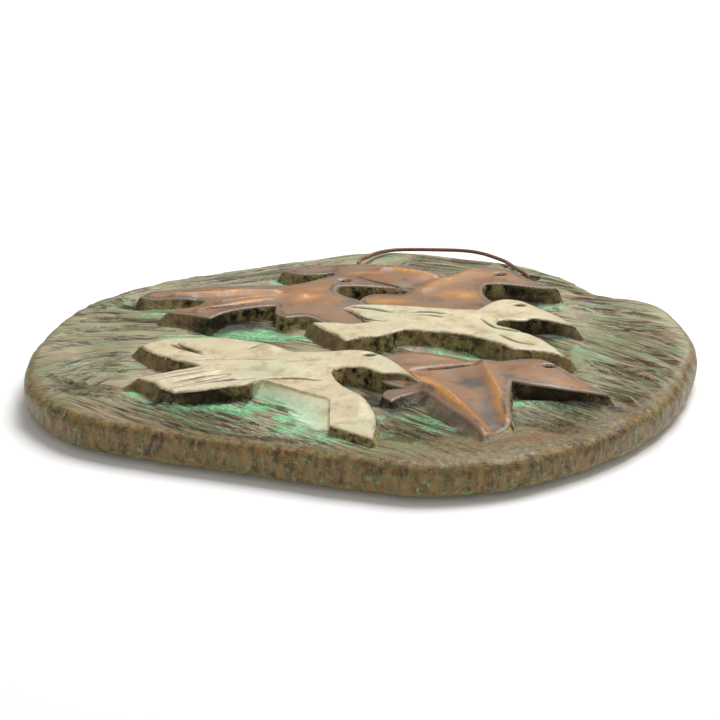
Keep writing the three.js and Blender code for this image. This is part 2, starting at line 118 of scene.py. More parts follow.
def nearest(x, y, line, closed=False):
    """Distance to the line, the nearest point on it, and how far along the line that is, 0 to 1."""
    starts = line if closed else line[:-1]
    ends = np.roll(line, -1, axis=0) if closed else line[1:]
    best = np.full(x.shape, 1e9)
    near = [np.zeros(x.shape), np.zeros(x.shape), np.zeros(x.shape)]
    for i, ((ax, ay), (bx, by)) in enumerate(zip(starts, ends)):
        dx = bx - ax
        dy = by - ay
        t = np.clip(((x - ax) * dx + (y - ay) * dy) / (dx * dx + dy * dy + 1e-12), 0, 1)
        px = ax + t * dx
        py = ay + t * dy
        away = (x - px) ** 2 + (y - py) ** 2
        closer = away < best
        best = np.where(closer, away, best)
        for slot, value in zip(range(3), (px, py, (i + t) / len(starts))):
            near[slot] = np.where(closer, value, near[slot])
    return np.sqrt(best), near[0], near[1], near[2]


def inside(x, y, outline):
    """True where a point is inside the closed outline."""
    within = np.zeros(x.shape, bool)
    for (ax, ay), (bx, by) in zip(outline, np.roll(outline, -1, axis=0)):
        if ay != by:
            crosses = (ay > y) != (by > y)
            within ^= crosses & (x < (bx - ax) * (y - ay) / (by - ay) + ax)
    return within


def ease(t):
    """0 below 0, 1 above 1, and a smooth step between."""
    t = np.clip(t, 0, 1)
    return t * t * (3 - 2 * t)


def oval(x, y, cx, cy, length, width, turn):
    """Squared distance from the middle of a turned oval: 1 where it reaches its half sizes."""
    c = math.cos(math.radians(turn))
    s = math.sin(math.radians(turn))
    u = ((x - cx) * c + (y - cy) * s) / length
    v = ((y - cy) * c - (x - cx) * s) / width
    return u * u + v * v


NOISE_SIDE = 128
noise_lattice = random.random((NOISE_SIDE, NOISE_SIDE))


def soft_noise(x, y, size, shift=0.0):
    """Smooth noise from -1 to 1 with lumps about as large as size."""
    u = x / size + shift * 17.3 + 500
    v = y / size + shift * 9.7 + 500
    i = np.floor(u).astype(int)
    j = np.floor(v).astype(int)
    fu = ease(u - i)
    fv = ease(v - j)

    def corner(di, dj):
        return noise_lattice[(i + di) % NOISE_SIDE, (j + dj) % NOISE_SIDE]

    low = corner(0, 0) * (1 - fu) + corner(1, 0) * fu
    high = corner(0, 1) * (1 - fu) + corner(1, 1) * fu
    return (low * (1 - fv) + high * fv) * 2 - 1


# %% [markdown]
# The rim is not a true circle: the slab was rolled and cut by hand. A few distances from the
# middle, each at its own angle, hold its whole outline, and the edge rounds over at the face and
# further in at the back.

# %% The slab's sizes and outline, in millimetres
PLAQUE_RADIUS = 192.5
SLAB_THICKNESS = 22.0
SHOULDER_REACH = 6.0

RIM = [
    (0, 1.01), (14, 1.03), (25, 1.05), (30, 1.03), (34, 0.98), (40, 0.965), (46, 0.995),
    (54, 1.035), (65, 1.065), (84, 1.08), (93, 1.06), (100, 1.02), (110, 1.0), (121, 0.985),
    (130, 1.0), (140, 1.025), (155, 1.04), (180, 1.04), (197, 1.072), (208, 1.07), (216, 1.045),
    (224, 0.995), (233, 0.945), (248, 0.91), (258, 0.925), (267, 0.96), (278, 1.02), (290, 1.04),
    (304, 1.02), (318, 1.0), (336, 0.985),
]

rim_points = [
    (
        PLAQUE_RADIUS * share * math.cos(math.radians(degrees)),
        PLAQUE_RADIUS * share * math.sin(math.radians(degrees)),
    )
    for degrees, share in RIM
]
rim_line = smooth_line(rim_points, 2.0, closed=True)[:-1]
rim_angles = np.arctan2(rim_line[:, 1], rim_line[:, 0])
rim_order = np.argsort(rim_angles)
rim_angles = rim_angles[rim_order]
rim_radii = np.hypot(rim_line[:, 0], rim_line[:, 1])[rim_order]


def rim_radius(angle):
    """Distance from the middle to the rim at an angle in radians."""
    return np.interp(angle, rim_angles, rim_radii, period=2 * math.pi)


def hand_cut(angle):
    """How far the hand-cut edge falls short of the rim, more at the far left."""
    around = np.asarray(angle) * PLAQUE_RADIUS
    rough = 0.4 + 0.9 * np.exp(-(((np.degrees(angle) - 140) / 45) ** 2))
    wave = 0.7 * soft_noise(around, 0 * around, 11, 21) + 0.5 * soft_noise(around, 0 * around, 5, 22)
    return 0.5 + rough * (1 + wave)


print("rim from", round(rim_radii.min(), 1), "to", round(rim_radii.max(), 1), "mm")

# %% [markdown]
# The cord is next. It comes up through one hole, runs over the ground and just past the far edge,
# and goes down the other hole. The route is given point by point, because a waxed cord
# keeps the curve that it was last bent to.

# %% The hanging cord's route, in millimetres
CORD_DIAMETER = 2.5
CORD_CLEARANCE = 0.3
POCKET_DEPTH = 9.0
LEFT_HOLE = (-7.0, 161.0)
RIGHT_HOLE = (104.5, 141.0)
ON_GROUND = SLAB_THICKNESS + CORD_DIAMETER / 2 + CORD_CLEARANCE

# The stretch above the ground: x, y, and how far above lying on it
OVER_GROUND = [
    (-6.5, 164.5, 1.5), (-5, 169.5, 2.6), (0.2, 177.6, 2.4), (4.8, 186.8, 1.8), (11.5, 195, 1),
    (19, 200, 0.4), (28.5, 202.2, 0), (38, 202.6, -0.2), (47.4, 202, -0.2), (56.8, 200.8, -0.1),
    (66.1, 198.2, 0), (75.3, 191.2, 0.3), (82.4, 182.8, 0.3), (89.2, 172.2, 0.5), (94.1, 157.5, 1),
    (97.4, 148.6, 1.3), (100.4, 144.6, 0.6),
]
CORD_ROUTE = [
    (-7, 161, POCKET_DEPTH), (-7, 161, 15), (-6.9, 161.8, 21),
    *((x, y, ON_GROUND + above) for x, y, above in OVER_GROUND),
    (102.9, 142.2, 20.4), (104.3, 141.1, 15), (104.5, 141, POCKET_DEPTH),
]
cord_line = smooth_line(CORD_ROUTE, 0.5)
cord_length = np.linalg.norm(np.diff(cord_line, axis=0), axis=1).sum()
print("cord", round(cord_length, 1), "mm long")

# %% [markdown]
# The five birds. Each is drawn by the stretches of its outline between its corners, where each
# stretch starts at the corner that the last one reached. Then come the heights of its back at a
# few places, the ridges and dips that cross it, and the lines cut between feathers.
# The same few points could be traced as curves in the viewport; written down, they can also tell
# every other step where a bird begins and ends.

# %% The birds, on the flock's own sheet in millimetres
BIRD_LIFT = 8.0
OUTLINE_STEP = 1.6

foremost = {
    "glaze": "brown",
    "outline": [
        [(129, -92), (118, -76), (108, -59), (99, -47), (88, -45), (76, -47),
         (64, -48)],
        [(57, -38), (43, -29), (24, -22), (4, -26)],
        [(-4, -40), (8, -70), (20, -79)],
        [(9, -82), (7, -90), (12, -99)],
        [(18, -92), (29, -88)],
        [(38, -108), (50, -131), (61, -155)],
        [(69, -148), (76, -138), (77, -120), (78, -96), (80, -80)],
        [(90, -86), (108, -92), (123, -97), (133, -102)],
    ],
    "backs": [(95, -60, 1.2), (128, -98, 0.8), (60, -60, 1.05), (30, -40, 0.75), (5, -30, 0.6),
              (10, -95, 0.2), (18, -86, 0.3), (40, -95, 0.9), (60, -130, 0.6), (62, -158, 0.15)],
    "ridges": [(0.35, 8, [(24, -64), (29, -79), (41, -97), (52, -121), (60, -148)]),
               (0.22, 7, [(65, -51), (67, -71), (71, -93), (74, -115), (74, -134)]),
               (0.12, 5, [(23, -54), (37, -51), (53, -50), (65, -50)])],
    "dips": [(0.3, 14, [(48, -66), (58, -92), (65, -124), (67, -140)]),
             (0.15, 8, [(26, -40), (44, -40), (60, -44)])],
    "feathers": [[(23, -58), (38, -55), (54, -54), (64, -54)]],
    "eye": (102, -59),
}

leading = {
    "glaze": "ivory",
    "outline": [
        [(20, -60), (9, -42), (0, -32), (-10, -29), (-26, -31), (-43, -31)],
        [(-60, -14), (-80, -4), (-105, -1), (-124, -4), (-134, -13)],
        [(-124, -29), (-110, -43), (-97, -54)],
        [(-114, -62), (-131, -71)],
        [(-121, -81), (-117, -89), (-109, -97)],
        [(-96, -95), (-80, -89), (-70, -86), (-64, -79)],
        [(-69, -96), (-70, -110)],
        [(-58, -116), (-40, -129), (-22, -144), (1, -163)],
        [(3, -142), (2, -124), (-3, -109), (-12, -94), (-19, -78), (-21, -67),
         (-14, -59)],
        [(-3, -60), (5, -66), (19, -69), (28, -80)],
    ],
    "backs": [(0, -45, 1.2), (22, -68, 0.95), (-40, -55, 1.12), (-90, -25, 1), (-130, -15, 0.8),
              (-75, -68, 1), (-120, -80, 0.85), (-10, -100, 0.95), (-3, -150, 0.45),
              (-45, -108, 0.75), (-30, -128, 0.45)],
    "ridges": [(0.12, 4, [(-86, -66), (-104, -74), (-120, -80)]),
               (0.12, 4, [(-76, -79), (-92, -86), (-110, -93)]),
               (0.12, 12, [(-120, -8), (-90, -14), (-60, -24)]),
               (0.15, 12, [(-60, -58), (-20, -66), (-8, -90), (-6, -130)])],
    "dips": [(0.12, 10, [(-110, -26), (-84, -34), (-60, -40)])],
    "feathers": [
        [(-124, -70), (-107, -63), (-94, -58)], [(-122, -76), (-105, -69), (-86, -62)],
        [(-113, -83), (-96, -75), (-78, -69)], [(-78, -71), (-91, -80), (-108, -88)],
        [(-112, -93), (-88, -84), (-64, -76)], [(-117, -14), (-105, -24), (-95, -33)],
        [(-113, -13), (-102, -25), (-96, -29)], [(-71, -26), (-65, -22), (-62, -17)],
        [(-103, -45), (-74, -42), (-52, -45)], [(-64, -79), (-46, -77), (-26, -80)],
    ],
    "eye": (0, -39),
}

middle = {
    "glaze": "ivory",
    "outline": [
        [(115, 37), (103, 52), (93, 65), (84, 69), (77, 65), (66, 49)],
        [(50, 51), (30, 57), (10, 62), (-6, 62), (-16, 57)],
        [(-9, 47), (-5, 38), (0, 27)],
        [(-12, 24), (-22, 27), (-34, 27)],
        [(-26, 12), (-18, 1), (-14, -8)],
        [(-6, -3), (8, 1), (20, 11), (34, 8), (50, 4), (66, -3), (76, -12), (84, -22)],
        [(96, -24), (106, -28), (116, -36)],
        [(108, -20), (102, -8), (94, 4), (83, 14), (76, 23), (78, 29)],
        [(94, 29), (98, 33), (110, 29), (123, 20)],
    ],
    "backs": [(90, 50, 1.2), (118, 30, 0.95), (50, 30, 1.1), (0, 50, 1), (-12, 55, 0.9),
              (-20, 15, 1), (90, -5, 0.95), (112, -30, 0.75)],
    "ridges": [(0.15, 9, [(-8, 57), (20, 52), (46, 44)]),
               (0.12, 10, [(20, 20), (56, 26), (84, 12), (108, -22)])],
    "dips": [(0.12, 8, [(30, 30), (55, 30), (75, 18)])],
    "feathers": [[(-13, 56), (2, 51), (15, 45)], [(24, 44), (36, 43), (46, 39)],
                 [(45, 35), (36, 38), (26, 40)], [(-8, 43), (1, 31), (10, 27)],
                 [(66, 33), (75, 15), (88, 7), (102, 0)], [(76, 4), (87, -11), (97, -16)]],
    "eye": (92, 56),
}

left = {
    "glaze": "brown",
    "outline": [
        [(11, 101), (-2, 110), (-13, 120), (-21, 120), (-32, 111), (-42, 104),
         (-50, 100)],
        [(-70, 102), (-95, 100), (-120, 97), (-136, 93), (-142, 82)],
        [(-136, 77), (-120, 76), (-106, 75)],
        [(-101, 70), (-104, 62)],
        [(-114, 56), (-123, 49)],
        [(-110, 44), (-96, 37)],
        [(-86, 49), (-72, 56), (-57, 60)],
        [(-56, 44), (-50, 37)],
        [(-42, 40), (-36, 40), (-24, 29)],
        [(-8, 22), (6, 40), (-1, 62)],
        [(-6, 72), (-16, 80), (-20, 88), (-19, 96)],
        [(-4, 97), (10, 96), (20, 92)],
    ],
    "backs": [(-12, 108, 1.2), (15, 96, 1), (-40, 80, 1.12), (-90, 90, 1), (-138, 85, 0.8),
              (-110, 52, 0.9), (-45, 50, 0.95), (-15, 40, 0.6)],
    "ridges": [(0.22, 6, [(-120, 83), (-100, 84), (-80, 87), (-58, 86)]),
               (0.22, 6, [(-90, 66), (-72, 73), (-59, 77), (-40, 76)]),
               (0.18, 6, [(-104, 50), (-79, 64), (-60, 71)])],
    "dips": [(0.16, 6, [(-104, 78), (-75, 79), (-55, 82)])],
    "feathers": [[(-117, 91), (-91, 90), (-64, 92)], [(-108, 48), (-88, 56), (-64, 66)]],
    "eye": (-15, 107),
}

topmost = {
    "glaze": "brown",
    "outline": [
        [(110, 105), (99, 117), (89, 132), (76, 138), (66, 135), (56, 127), (49, 121)],
        [(43, 128), (36, 136), (24, 144), (10, 148), (-2, 150), (-20, 150), (-40, 146),
         (-55, 138)],
        [(-45, 131), (-32, 130), (-22, 132)],
        [(-20, 118), (0, 106), (24, 98), (22, 92)],
        [(2, 92), (-6, 80), (0, 60)],
        [(30, 50), (60, 42), (80, 60)],
        [(75, 72), (71, 86), (71, 96), (73, 103)],
        [(88, 102), (104, 98), (118, 96)],
    ],
    "backs": [(80, 122, 1.2), (112, 100, 0.95), (45, 105, 1.05), (0, 140, 0.95), (-50, 133, 0.8),
              (15, 75, 0.5), (60, 70, 0.9)],
    "ridges": [(0.25, 7, [(8, 136), (17, 135), (27, 129), (42, 120)]),
               (0.2, 10, [(33, 90), (49, 112), (65, 126)])],
    "dips": [(0.2, 10, [(24, 100), (38, 114), (50, 122)]), (0.12, 9, [(62, 104), (74, 114)])],
    "feathers": [[(-10, 122), (4, 112), (22, 101)]],
    "eye": (83, 121),
}

BIRDS = [topmost, left, foremost, middle, leading]
for bird in BIRDS:
    corner = bird["outline"][-1][-1]
    stretches = []
    for stretch in bird["outline"]:
        stretches.append(smooth_line([corner] + stretch, OUTLINE_STEP)[:-1])
        corner = stretch[-1]
    bird["border"] = np.vstack(stretches)
print("birds:", len(BIRDS))

# %% [markdown]
# The ground. A potter drags a notched tool through leather-hard clay, so the grooves come in fans:
# a first groove, a last one, and the rest shared out between them, with the hand's small wander.
# A few are deep, many are fine, and most taper to nothing at both ends.

# %% The fans of grooves and the hollows
# x, y, length, width, turn, depth; a depth below 0 is a low rise
HOLLOWS = [
    (0, -80, 52, 34, -50, 5), (-100, -110, 80, 26, -14, -1), (-118, -48, 36, 26, 30, 2),
    (-76, 30, 70, 30, -6, 3.5), (-130, 64, 50, 24, 0, -2), (104, 2, 40, 30, 50, 1.5),
    (50, -8, 90, 20, -4, 3.5), (112, -112, 84, 36, -14, -2.4), (96, 88, 56, 18, -4, 2.5),
    (-46, 120, 30, 12, 0, 1.5), (24, -124, 40, 26, -50, 1), (112, 14, 36, 22, -40, -1.5),
]

# Deep grooves, fine grooves, first line, last line
COMBINGS = [
    (5, 6, [(124, 78), (140, 75), (162, 69), (184, 56)],
     [(130, 46), (148, 35), (168, 16), (188, -14)]),
    (4, 6, [(131, 36), (147, 26), (167, 4), (188, -28)],
     [(128, 4), (148, -16), (164, -42), (178, -72)]),
    (5, 6, [(124, -22), (144, -36), (156, -52), (170, -82)],
     [(128, -78), (138, -88), (146, -100), (152, -114)]),
    (7, 9, [(82, -87), (98, -91), (116, -104), (134, -122)],
     [(79, -128), (89, -133), (102, -142), (114, -150)]),
    (7, 9, [(14, -92), (33, -114), (46, -131), (58, -148)],
     [(3, -130), (10, -142), (20, -154), (34, -166)]),
    (2, 4, [(-117, 36), (-143, 37), (-172, 31), (-190, 18)],
     [(-124, 21), (-151, 16), (-170, 10), (-192, 0)]),
    (4, 7, [(-128, 84), (-146, 90), (-162, 94), (-174, 92)],
     [(-126, 55), (-146, 53), (-164, 56), (-186, 48)]),
    (5, 7, [(-140, -12), (-156, -13), (-169, -20), (-180, -36)],
     [(-139, -52), (-150, -52), (-157, -60), (-162, -70)]),
    (4, 6, [(-134, -76), (-152, -70), (-170, -62), (-188, -46)],
     [(-128, -94), (-150, -86), (-166, -82), (-180, -76)]),
    (7, 11, [(-61, -122), (-85, -111), (-104, -100), (-136, -80)],
     [(-10, -172), (-66, -158), (-110, -134), (-154, -104)]),
    (5, 8, [(16, 192), (60, 178), (100, 158)], [(0, 168), (30, 160), (58, 148)]),
    (7, 12, [(-12, 188), (-60, 174), (-124, 144)], [(-30, 158), (-84, 132), (-124, 106)]),
    (5, 8, [(-104, 38), (-76, 26), (-36, 14)], [(-96, 6), (-70, 0), (-44, -14)]),
    (3, 5, [(-128, 134), (-150, 116), (-176, 84)], [(-134, 104), (-152, 92), (-184, 66)]),
    (4, 7, [(24, 200), (70, 190), (120, 164)], [(104, 134), (124, 122), (142, 106)]),
    (4, 6, [(122, 118), (140, 104), (164, 92)], [(120, 84), (140, 80), (172, 74)]),
    (4, 6, [(-6, 8), (20, -4), (60, -16)], [(0, -14), (24, -18), (60, -28)]),
    (4, 8, [(122, -118), (148, -106), (172, -88)], [(106, -162), (134, -146), (156, -122)]),
    (3, 5, [(96, 86), (104, 82), (120, 78)], [(84, 76), (98, 68), (118, 58)]),
    (4, 6, [(96, 22), (106, 12), (120, -4)], [(100, 0), (106, -8), (116, -18)]),
]


def wandering(points, amount):
    """A drawn line whose points have each wandered a little."""
    return [(x + random.normal(0, amount), y + random.normal(0, amount)) for x, y in points]


def between(first, last, share):
    """The line that lies this share of the way from the first line to the last."""
    return [
        (ax + (bx - ax) * share, ay + (by - ay) * share)
        for (ax, ay), (bx, by) in zip(first, last)
    ]


def trimmed(line):
    """The line without a random length at each end, as a tool lands and lifts."""
    start = round(random.uniform(0, 0.25) * len(line))
    stop = len(line) - round(random.uniform(0, 0.25) * len(line))
    return line[start:stop]


# The boldest grooves: width, cut, line
BOLD_GROOVES = [
    (8, 2.8, [(-117, 36), (-143, 37), (-172, 31), (-190, 19)]),
    (8, 2.8, [(-126, 22), (-151, 16), (-170, 10), (-190, 1)]),
    (8, 2.6, [(123, -33), (142, -36), (151, -47), (163, -74)]),
    (8, 2.2, [(131, 10), (150, -7), (168, -38), (180, -70)]),
    (8, 2.2, [(131, 26), (146, 16), (166, -7), (186, -42)]),
    (8, 2.2, [(131, 46), (148, 35), (168, 16), (188, -14)]),
    (8, 2.2, [(127, 66), (145, 58), (166, 44), (188, 22)]),
    (4, 1.8, [(-106, -100), (-91, -100), (-77, -101)]),
    (4, 1.8, [(-70, -92), (-54, -100), (-38, -111), (-24, -124)]),
    (5, 1.8, [(-61, -126), (-85, -114), (-104, -100), (-134, -78)]),
]

WANDER = 0.9
DEEP_WIDTH = (4.6, 7.6)
DEEP_CUT = (1.3, 2.5)
FINE_WIDTH = (2.0, 3.4)
FINE_CUT = (0.4, 1.0)

grooves = [(smooth_line(line, 4.0), width, cut) for width, cut, line in BOLD_GROOVES]
for deep_count, fine_count, first, last in COMBINGS:
    for i in range(deep_count):
        share = (i + random.uniform(-0.2, 0.2)) / (deep_count - 1)
        line = smooth_line(wandering(between(first, last, share), WANDER), 4.0)
        grooves.append((line, random.uniform(*DEEP_WIDTH), random.uniform(*DEEP_CUT)))
    for i in range(fine_count):
        share = -0.1 + 1.2 * (i + random.uniform(-0.4, 0.4)) / (fine_count - 1)
        line = trimmed(smooth_line(wandering(between(first, last, share), WANDER), 5.0))
        grooves.append((line, random.uniform(*FINE_WIDTH), random.uniform(*FINE_CUT)))
grooves = [groove for groove in grooves if len(groove[0]) > 2]
print("grooves:", len(grooves))

# %% [markdown]
# The relief. Every point of the face asks how high the clay is there: the ground less its hollows
# and grooves, or a bird's back if it is inside an outline, with a sloping wall just outside. The
# same sums also say what is bird, wall, groove or edge, and the glaze is laid on by them later.
# A sculpted mesh would need a hand; this way each outline stays crisp.


# %% Carving the grooves
def carve_grooves(x, y):
    """How deep the grooves cut at each point, and how much a point is in one."""
    depth = np.zeros(x.shape)
    raised = np.zeros(x.shape)
    dark = np.zeros(x.shape)
    for line, width, cut in grooves:
        low = line.min(axis=0) - width
        high = line.max(axis=0) + width
        near = np.nonzero((x > low[0]) & (x < high[0]) & (y > low[1]) & (y < high[1]))[0]
        if not len(near):
            continue
        away, _, _, along = nearest(x[near], y[near], line)
        taper = np.clip(4 * along * (1 - along), 0, 1) ** 0.6
        half = width / 2
        trough = np.clip(1 - (away / half) ** 2, 0, 1) * taper
        burr = np.exp(-(((away - half * 1.2) / (half * 0.4)) ** 2)) * taper * (away > half)
        depth[near] = np.maximum(depth[near], cut * trough)
        raised[near] = np.maximum(raised[near], 0.25 * cut * burr)
        # The groove's core, which the glaze darkens later, partly as painted shade
        core = np.clip(1 - away / (half * 0.75), 0, 1) * taper
        dark[near] = np.maximum(dark[near], core * min(1, cut / 1.2))
    return depth - raised * (depth <= 0), dark


# %% The height of a bird's back
def crest(away, width):
    """A ridge with a crisp top, that far across."""
    return np.clip(1 - away / width, 0, 1) ** 1.6


def back_of(bird, x, y):
    """Height of a bird's back above the ground's level, before its edges are rounded."""
    weights = np.zeros(x.shape)
    lift = np.zeros(x.shape)
    for bx, by, share in bird["backs"]:
        pull = ((x - bx) ** 2 + (y - by) ** 2 + 200) ** -1.5
        weights += pull
        lift += share * pull
    lift /= weights
    ridge = np.zeros(x.shape)
    for height, width, line in bird["ridges"]:
        swell = crest(nearest(x, y, smooth_line(line, 3))[0], width)
        lift += height * swell
        ridge = np.maximum(ridge, swell)
    for depth, width, line in bird["dips"]:
        lift -= depth * np.exp(-2 * (nearest(x, y, smooth_line(line, 3))[0] / width) ** 2)
    return lift * BIRD_LIFT, ridge


# %% [markdown]
# A bird's details. The lines between its feathers are V cuts, and the eye is a ring with the round
# of the eye left standing in it. The leading bird's near wing also has a panel that was pared
# down below the rest, so that it runs out into the ground.

# %% Feather lines, eyes and the pared panel
FEATHER_WIDTH = 3.0
FEATHER_DEPTH = 1.3
EYE_LENGTH = 4.4
EYE_HEIGHT = 3.6
PANEL_STEP = 0.9
PANEL_FALL = 8.0
PANEL_REACH = 34.0


def cut_feathers(bird, x, y):
    """Depth of the feather lines and the eye's ring, and how dark the glaze lies in them."""
    depth = np.zeros(x.shape)
    dark = np.zeros(x.shape)
    for line in bird["feathers"]:
        away, _, _, along = nearest(x, y, smooth_line(line, 2))
        taper = np.sqrt(np.clip(4 * along * (1 - along), 0, 1))
        trough = np.clip(1 - away / (FEATHER_WIDTH / 2), 0, 1) * taper
        depth = np.maximum(depth, FEATHER_DEPTH * trough)
        dark = np.maximum(dark, trough)
    ex, ey = bird["eye"]
    r = np.hypot((x - ex) / EYE_LENGTH, (y - ey) / EYE_HEIGHT)
    ring = np.exp(-(((r - 0.65) / 0.35) ** 2))
    pupil = np.clip(1 - (r / 0.35) ** 2, 0, 1)
    depth = np.maximum(depth, 1.5 * ring)
    dark = np.maximum(dark, np.clip(2.4 * (1.05 - r), 0, 1) - 0.5 * pupil)
    return depth, dark


def pare_panel(bird, x, y):
    """How far the pared panel lies below the wing, and how much a point is in it."""
    if "panel" not in bird:
        return np.zeros(x.shape), np.zeros(x.shape)
    within = inside(x, y, np.array(bird["panel"], float))
    step_line = np.array(bird["panel"][: bird["panel_step"]], float)
    away = nearest(x, y, step_line)[0]
    below = nearest(x, y, step_line[:4])[0]
    leftwards = np.clip((step_line[4][0] - 2 - x) / PANEL_REACH, 0, 1)
    fall = np.clip(1.1 * np.clip(below / 13, 0, 1) * leftwards + below / 90, 0, 1)
    depth = PANEL_STEP * ease(away / 0.9) + PANEL_FALL * fall
    return depth * within, within * (0.25 * ease(away / 4) + 0.75 * fall)


leading["panel"] = [
    (-60, -79), (-46, -88), (-33, -98), (-23, -106), (-22, -110), (-22, -150), (-46, -136),
    (-78, -118), (-73, -97),
]
leading["panel_step"] = 6

# %% [markdown]
# The walls are not all steep. Most drop straight off the knife, but the ends of tails and wings
# were cut back on a slant, and those slants face the viewer in the photograph. Each spot below
# gives the reach of the wall near it.

# %% How far the walls reach out
WALL_RUN = 1.5
WALL_SPOTS = [
    (-137, -8, 6.5), (-122, -34, 6.0), (-104, -50, 3.0), (-136, -72, 9.0), (-124, -84, 5.0),
    (-112, -96, 3.5), (42, -108, 7.0), (30, -92, 5.0), (-32, 24, 7.0), (-20, 0, 7.0),
    (-112, 54, 6.0), (-122, 46, 7.0),
    (-142, 84, 5.0), (-56, 132, 5.0), (122, 90, 5.5), (128, 20, 6.0), (120, -36, 6.0),
    (136, -112, 4.0), (52, -140, 7.0), (66, -160, 5.0), (34, 4, 4.0),
    (66, -4, 4.5), (90, -24, 4.0), (0, -160, 3.0), (-40, -130, 2.5), (70, -84, 3.0),
]


def wall_run(x, y):
    """Reach of the wall at each point: the spots' own near them, and steep elsewhere."""
    weights = np.full(x.shape, 0.25)
    run = np.full(x.shape, WALL_RUN * 0.25)
    for sx, sy, reach in WALL_SPOTS:
        pull = np.exp(-((x - sx) ** 2 + (y - sy) ** 2) / (2 * 9.0**2))
        weights += pull
        run += reach * pull
    return run / weights


# %% Finding which bird a point belongs to
BIRD_MARGIN = 22.0


def survey(x, y):
    """For each bird, the points near it and their signed distance to its outline."""
    found = []
    nearest_bird = np.full(x.shape, 1e3)
    for bird in BIRDS:
        border = bird["border"]
        low = border.min(axis=0) - BIRD_MARGIN
        high = border.max(axis=0) + BIRD_MARGIN
        near = np.nonzero((x > low[0]) & (x < high[0]) & (y > low[1]) & (y < high[1]))[0]
        away, nx, ny, _ = nearest(x[near], y[near], border, closed=True)
        signed = np.where(inside(x[near], y[near], border), -away, away)
        nearest_bird[near] = np.minimum(nearest_bird[near], signed)
        found.append((bird, near, signed, nx, ny))
    return found, nearest_bird


# %% The whole face
EDGE_ROUND = 0.9
EDGE_FALL = 0.5
EDGE_WIDTH = 6.0
MOAT_DEPTH = 1.5
MOAT_WIDTH = 10.0


def ground_level(x, y, nearest_bird):
    """Height of the ground, and how much each point lies in a groove."""
    moat = np.exp(-((np.clip(nearest_bird, 0, None) / MOAT_WIDTH) ** 2))
    ground = SLAB_THICKNESS + 0.5 * soft_noise(x, y, 34) + 0.22 * soft_noise(x, y, 9, 1)
    ground -= MOAT_DEPTH * moat
    for hx, hy, length, width, turn, depth in HOLLOWS:
        bowl = np.sqrt(np.clip(1 - oval(x, y, hx, hy, length / 2, width / 2, turn), 0, 1))
        ground -= (depth - MOAT_DEPTH * moat) * bowl * 0.9
    depth, dark = carve_grooves(x, y)
    return ground - depth, dark


def relief(x, y):
    """Height of the face at each point, and what each point is."""
    found, nearest_bird = survey(x, y)
    ground, groove = ground_level(x, y, nearest_bird)
    names = ("bird", "ivory", "wall", "slant", "edge", "rim_line", "ridge", "line", "panel")
    masks = {name: np.zeros(x.shape) for name in names}
    masks["groove"] = groove
    height = ground.copy()
    run = wall_run(x, y) * (1 + 0.25 * soft_noise(x, y, 6, 3))
    for number, (bird, near, signed, _, _) in enumerate(found):
        bx = x[near]
        by = y[near]
        lift, ridge = back_of(bird, bx, by)
        depth, dark = cut_feathers(bird, bx, by)
        pared, on_panel = pare_panel(bird, bx, by)
        inner = np.clip(-signed, 0, None)
        fall = EDGE_FALL * (1 - np.clip(inner / EDGE_WIDTH, 0, 1)) ** 2
        turned = 1 - np.clip(inner / EDGE_ROUND, 0, 1)
        fall += EDGE_ROUND * (1 - np.sqrt(np.clip(1 - turned * turned, 0, 1))) * 0.8
        top = SLAB_THICKNESS + lift + 0.16 * soft_noise(bx, by, 9, number) - fall
        top = np.where(pared > 0, np.maximum(top - pared, ground[near] + 0.5), top)
        slope = np.clip(1 - signed / run[near], 0, 1)
        base = ground[near]
        level = np.where(signed < 0, top - depth, base + (top - base) * slope)
        wins = level > height[near] + 1e-6
        here = near[wins]
        on_top = signed[wins] < 0
        height[here] = level[wins]
        masks["bird"][here] = on_top * (on_panel[wins] < 0.9)
        masks["ivory"][here] = bird["glaze"] == "ivory"
        masks["wall"][here] = (signed[wins] >= 0) * ((level - base)[wins] > 0.5)
        masks["slant"][here] = np.clip((run[here] - 2.2) / 3, 0, 1) * (signed[wins] >= 0)
        masks["edge"][here] = np.exp(-((inner[wins] / 1.6) ** 2)) * on_top
        masks["rim_line"][here] = np.exp(-(((inner[wins] - 3.2) / 1.3) ** 2)) * on_top
        masks["ridge"][here] = ridge[wins] * on_top
        masks["line"][here] = dark[wins] * on_top
        masks["panel"][here] = on_panel[wins] * on_top
    masks["low"] = np.clip((SLAB_THICKNESS - height) / 4, 0, 1)
    # The ground just outside each wall, where dark glaze and painted shade go later
    masks["foot"] = np.exp(-((np.clip(nearest_bird, 0, None) / 5) ** 2)) * (nearest_bird > 0)
    return height, masks


# %% [markdown]
# The clay itself starts as a grid primitive. Its border is extruded downwards a row at a time for
# the edge and closed with one face for the back, and then every point is moved: the square is
# pressed into the rim's outline, and the face takes its relief. A circle primitive would crowd its
# points at the middle and starve the rim.

# %% The clay: a grid with its border drawn down
GRID_CELLS = 560
EDGE_ROWS = 16

bpy.ops.mesh.primitive_grid_add(x_subdivisions=GRID_CELLS, y_subdivisions=GRID_CELLS, size=2)
clay = bpy.context.object
clay.name = "carved_plaque"
bpy.ops.object.mode_set(mode="EDIT")
bpy.ops.mesh.select_mode(type="EDGE")
bpy.ops.mesh.select_all(action="SELECT")
bpy.ops.mesh.region_to_loop()
for row in range(EDGE_ROWS):
    bpy.ops.mesh.extrude_region_move(TRANSFORM_OT_translate={"value": (0, 0, -1)})
bpy.ops.mesh.edge_face_add()
bpy.ops.object.mode_set(mode="OBJECT")

places = np.empty(len(clay.data.vertices) * 3)
clay.data.vertices.foreach_get("co", places)
places = places.reshape(-1, 3)
print("points in the clay:", len(places))

# %% [markdown]
# The edge has a rounded shoulder above and is drawn in below. At the front right the shoulder is
# far softer: there the face simply rolls over into the edge. Drips of glaze and the marks of the
# hand make the edge wave a little.

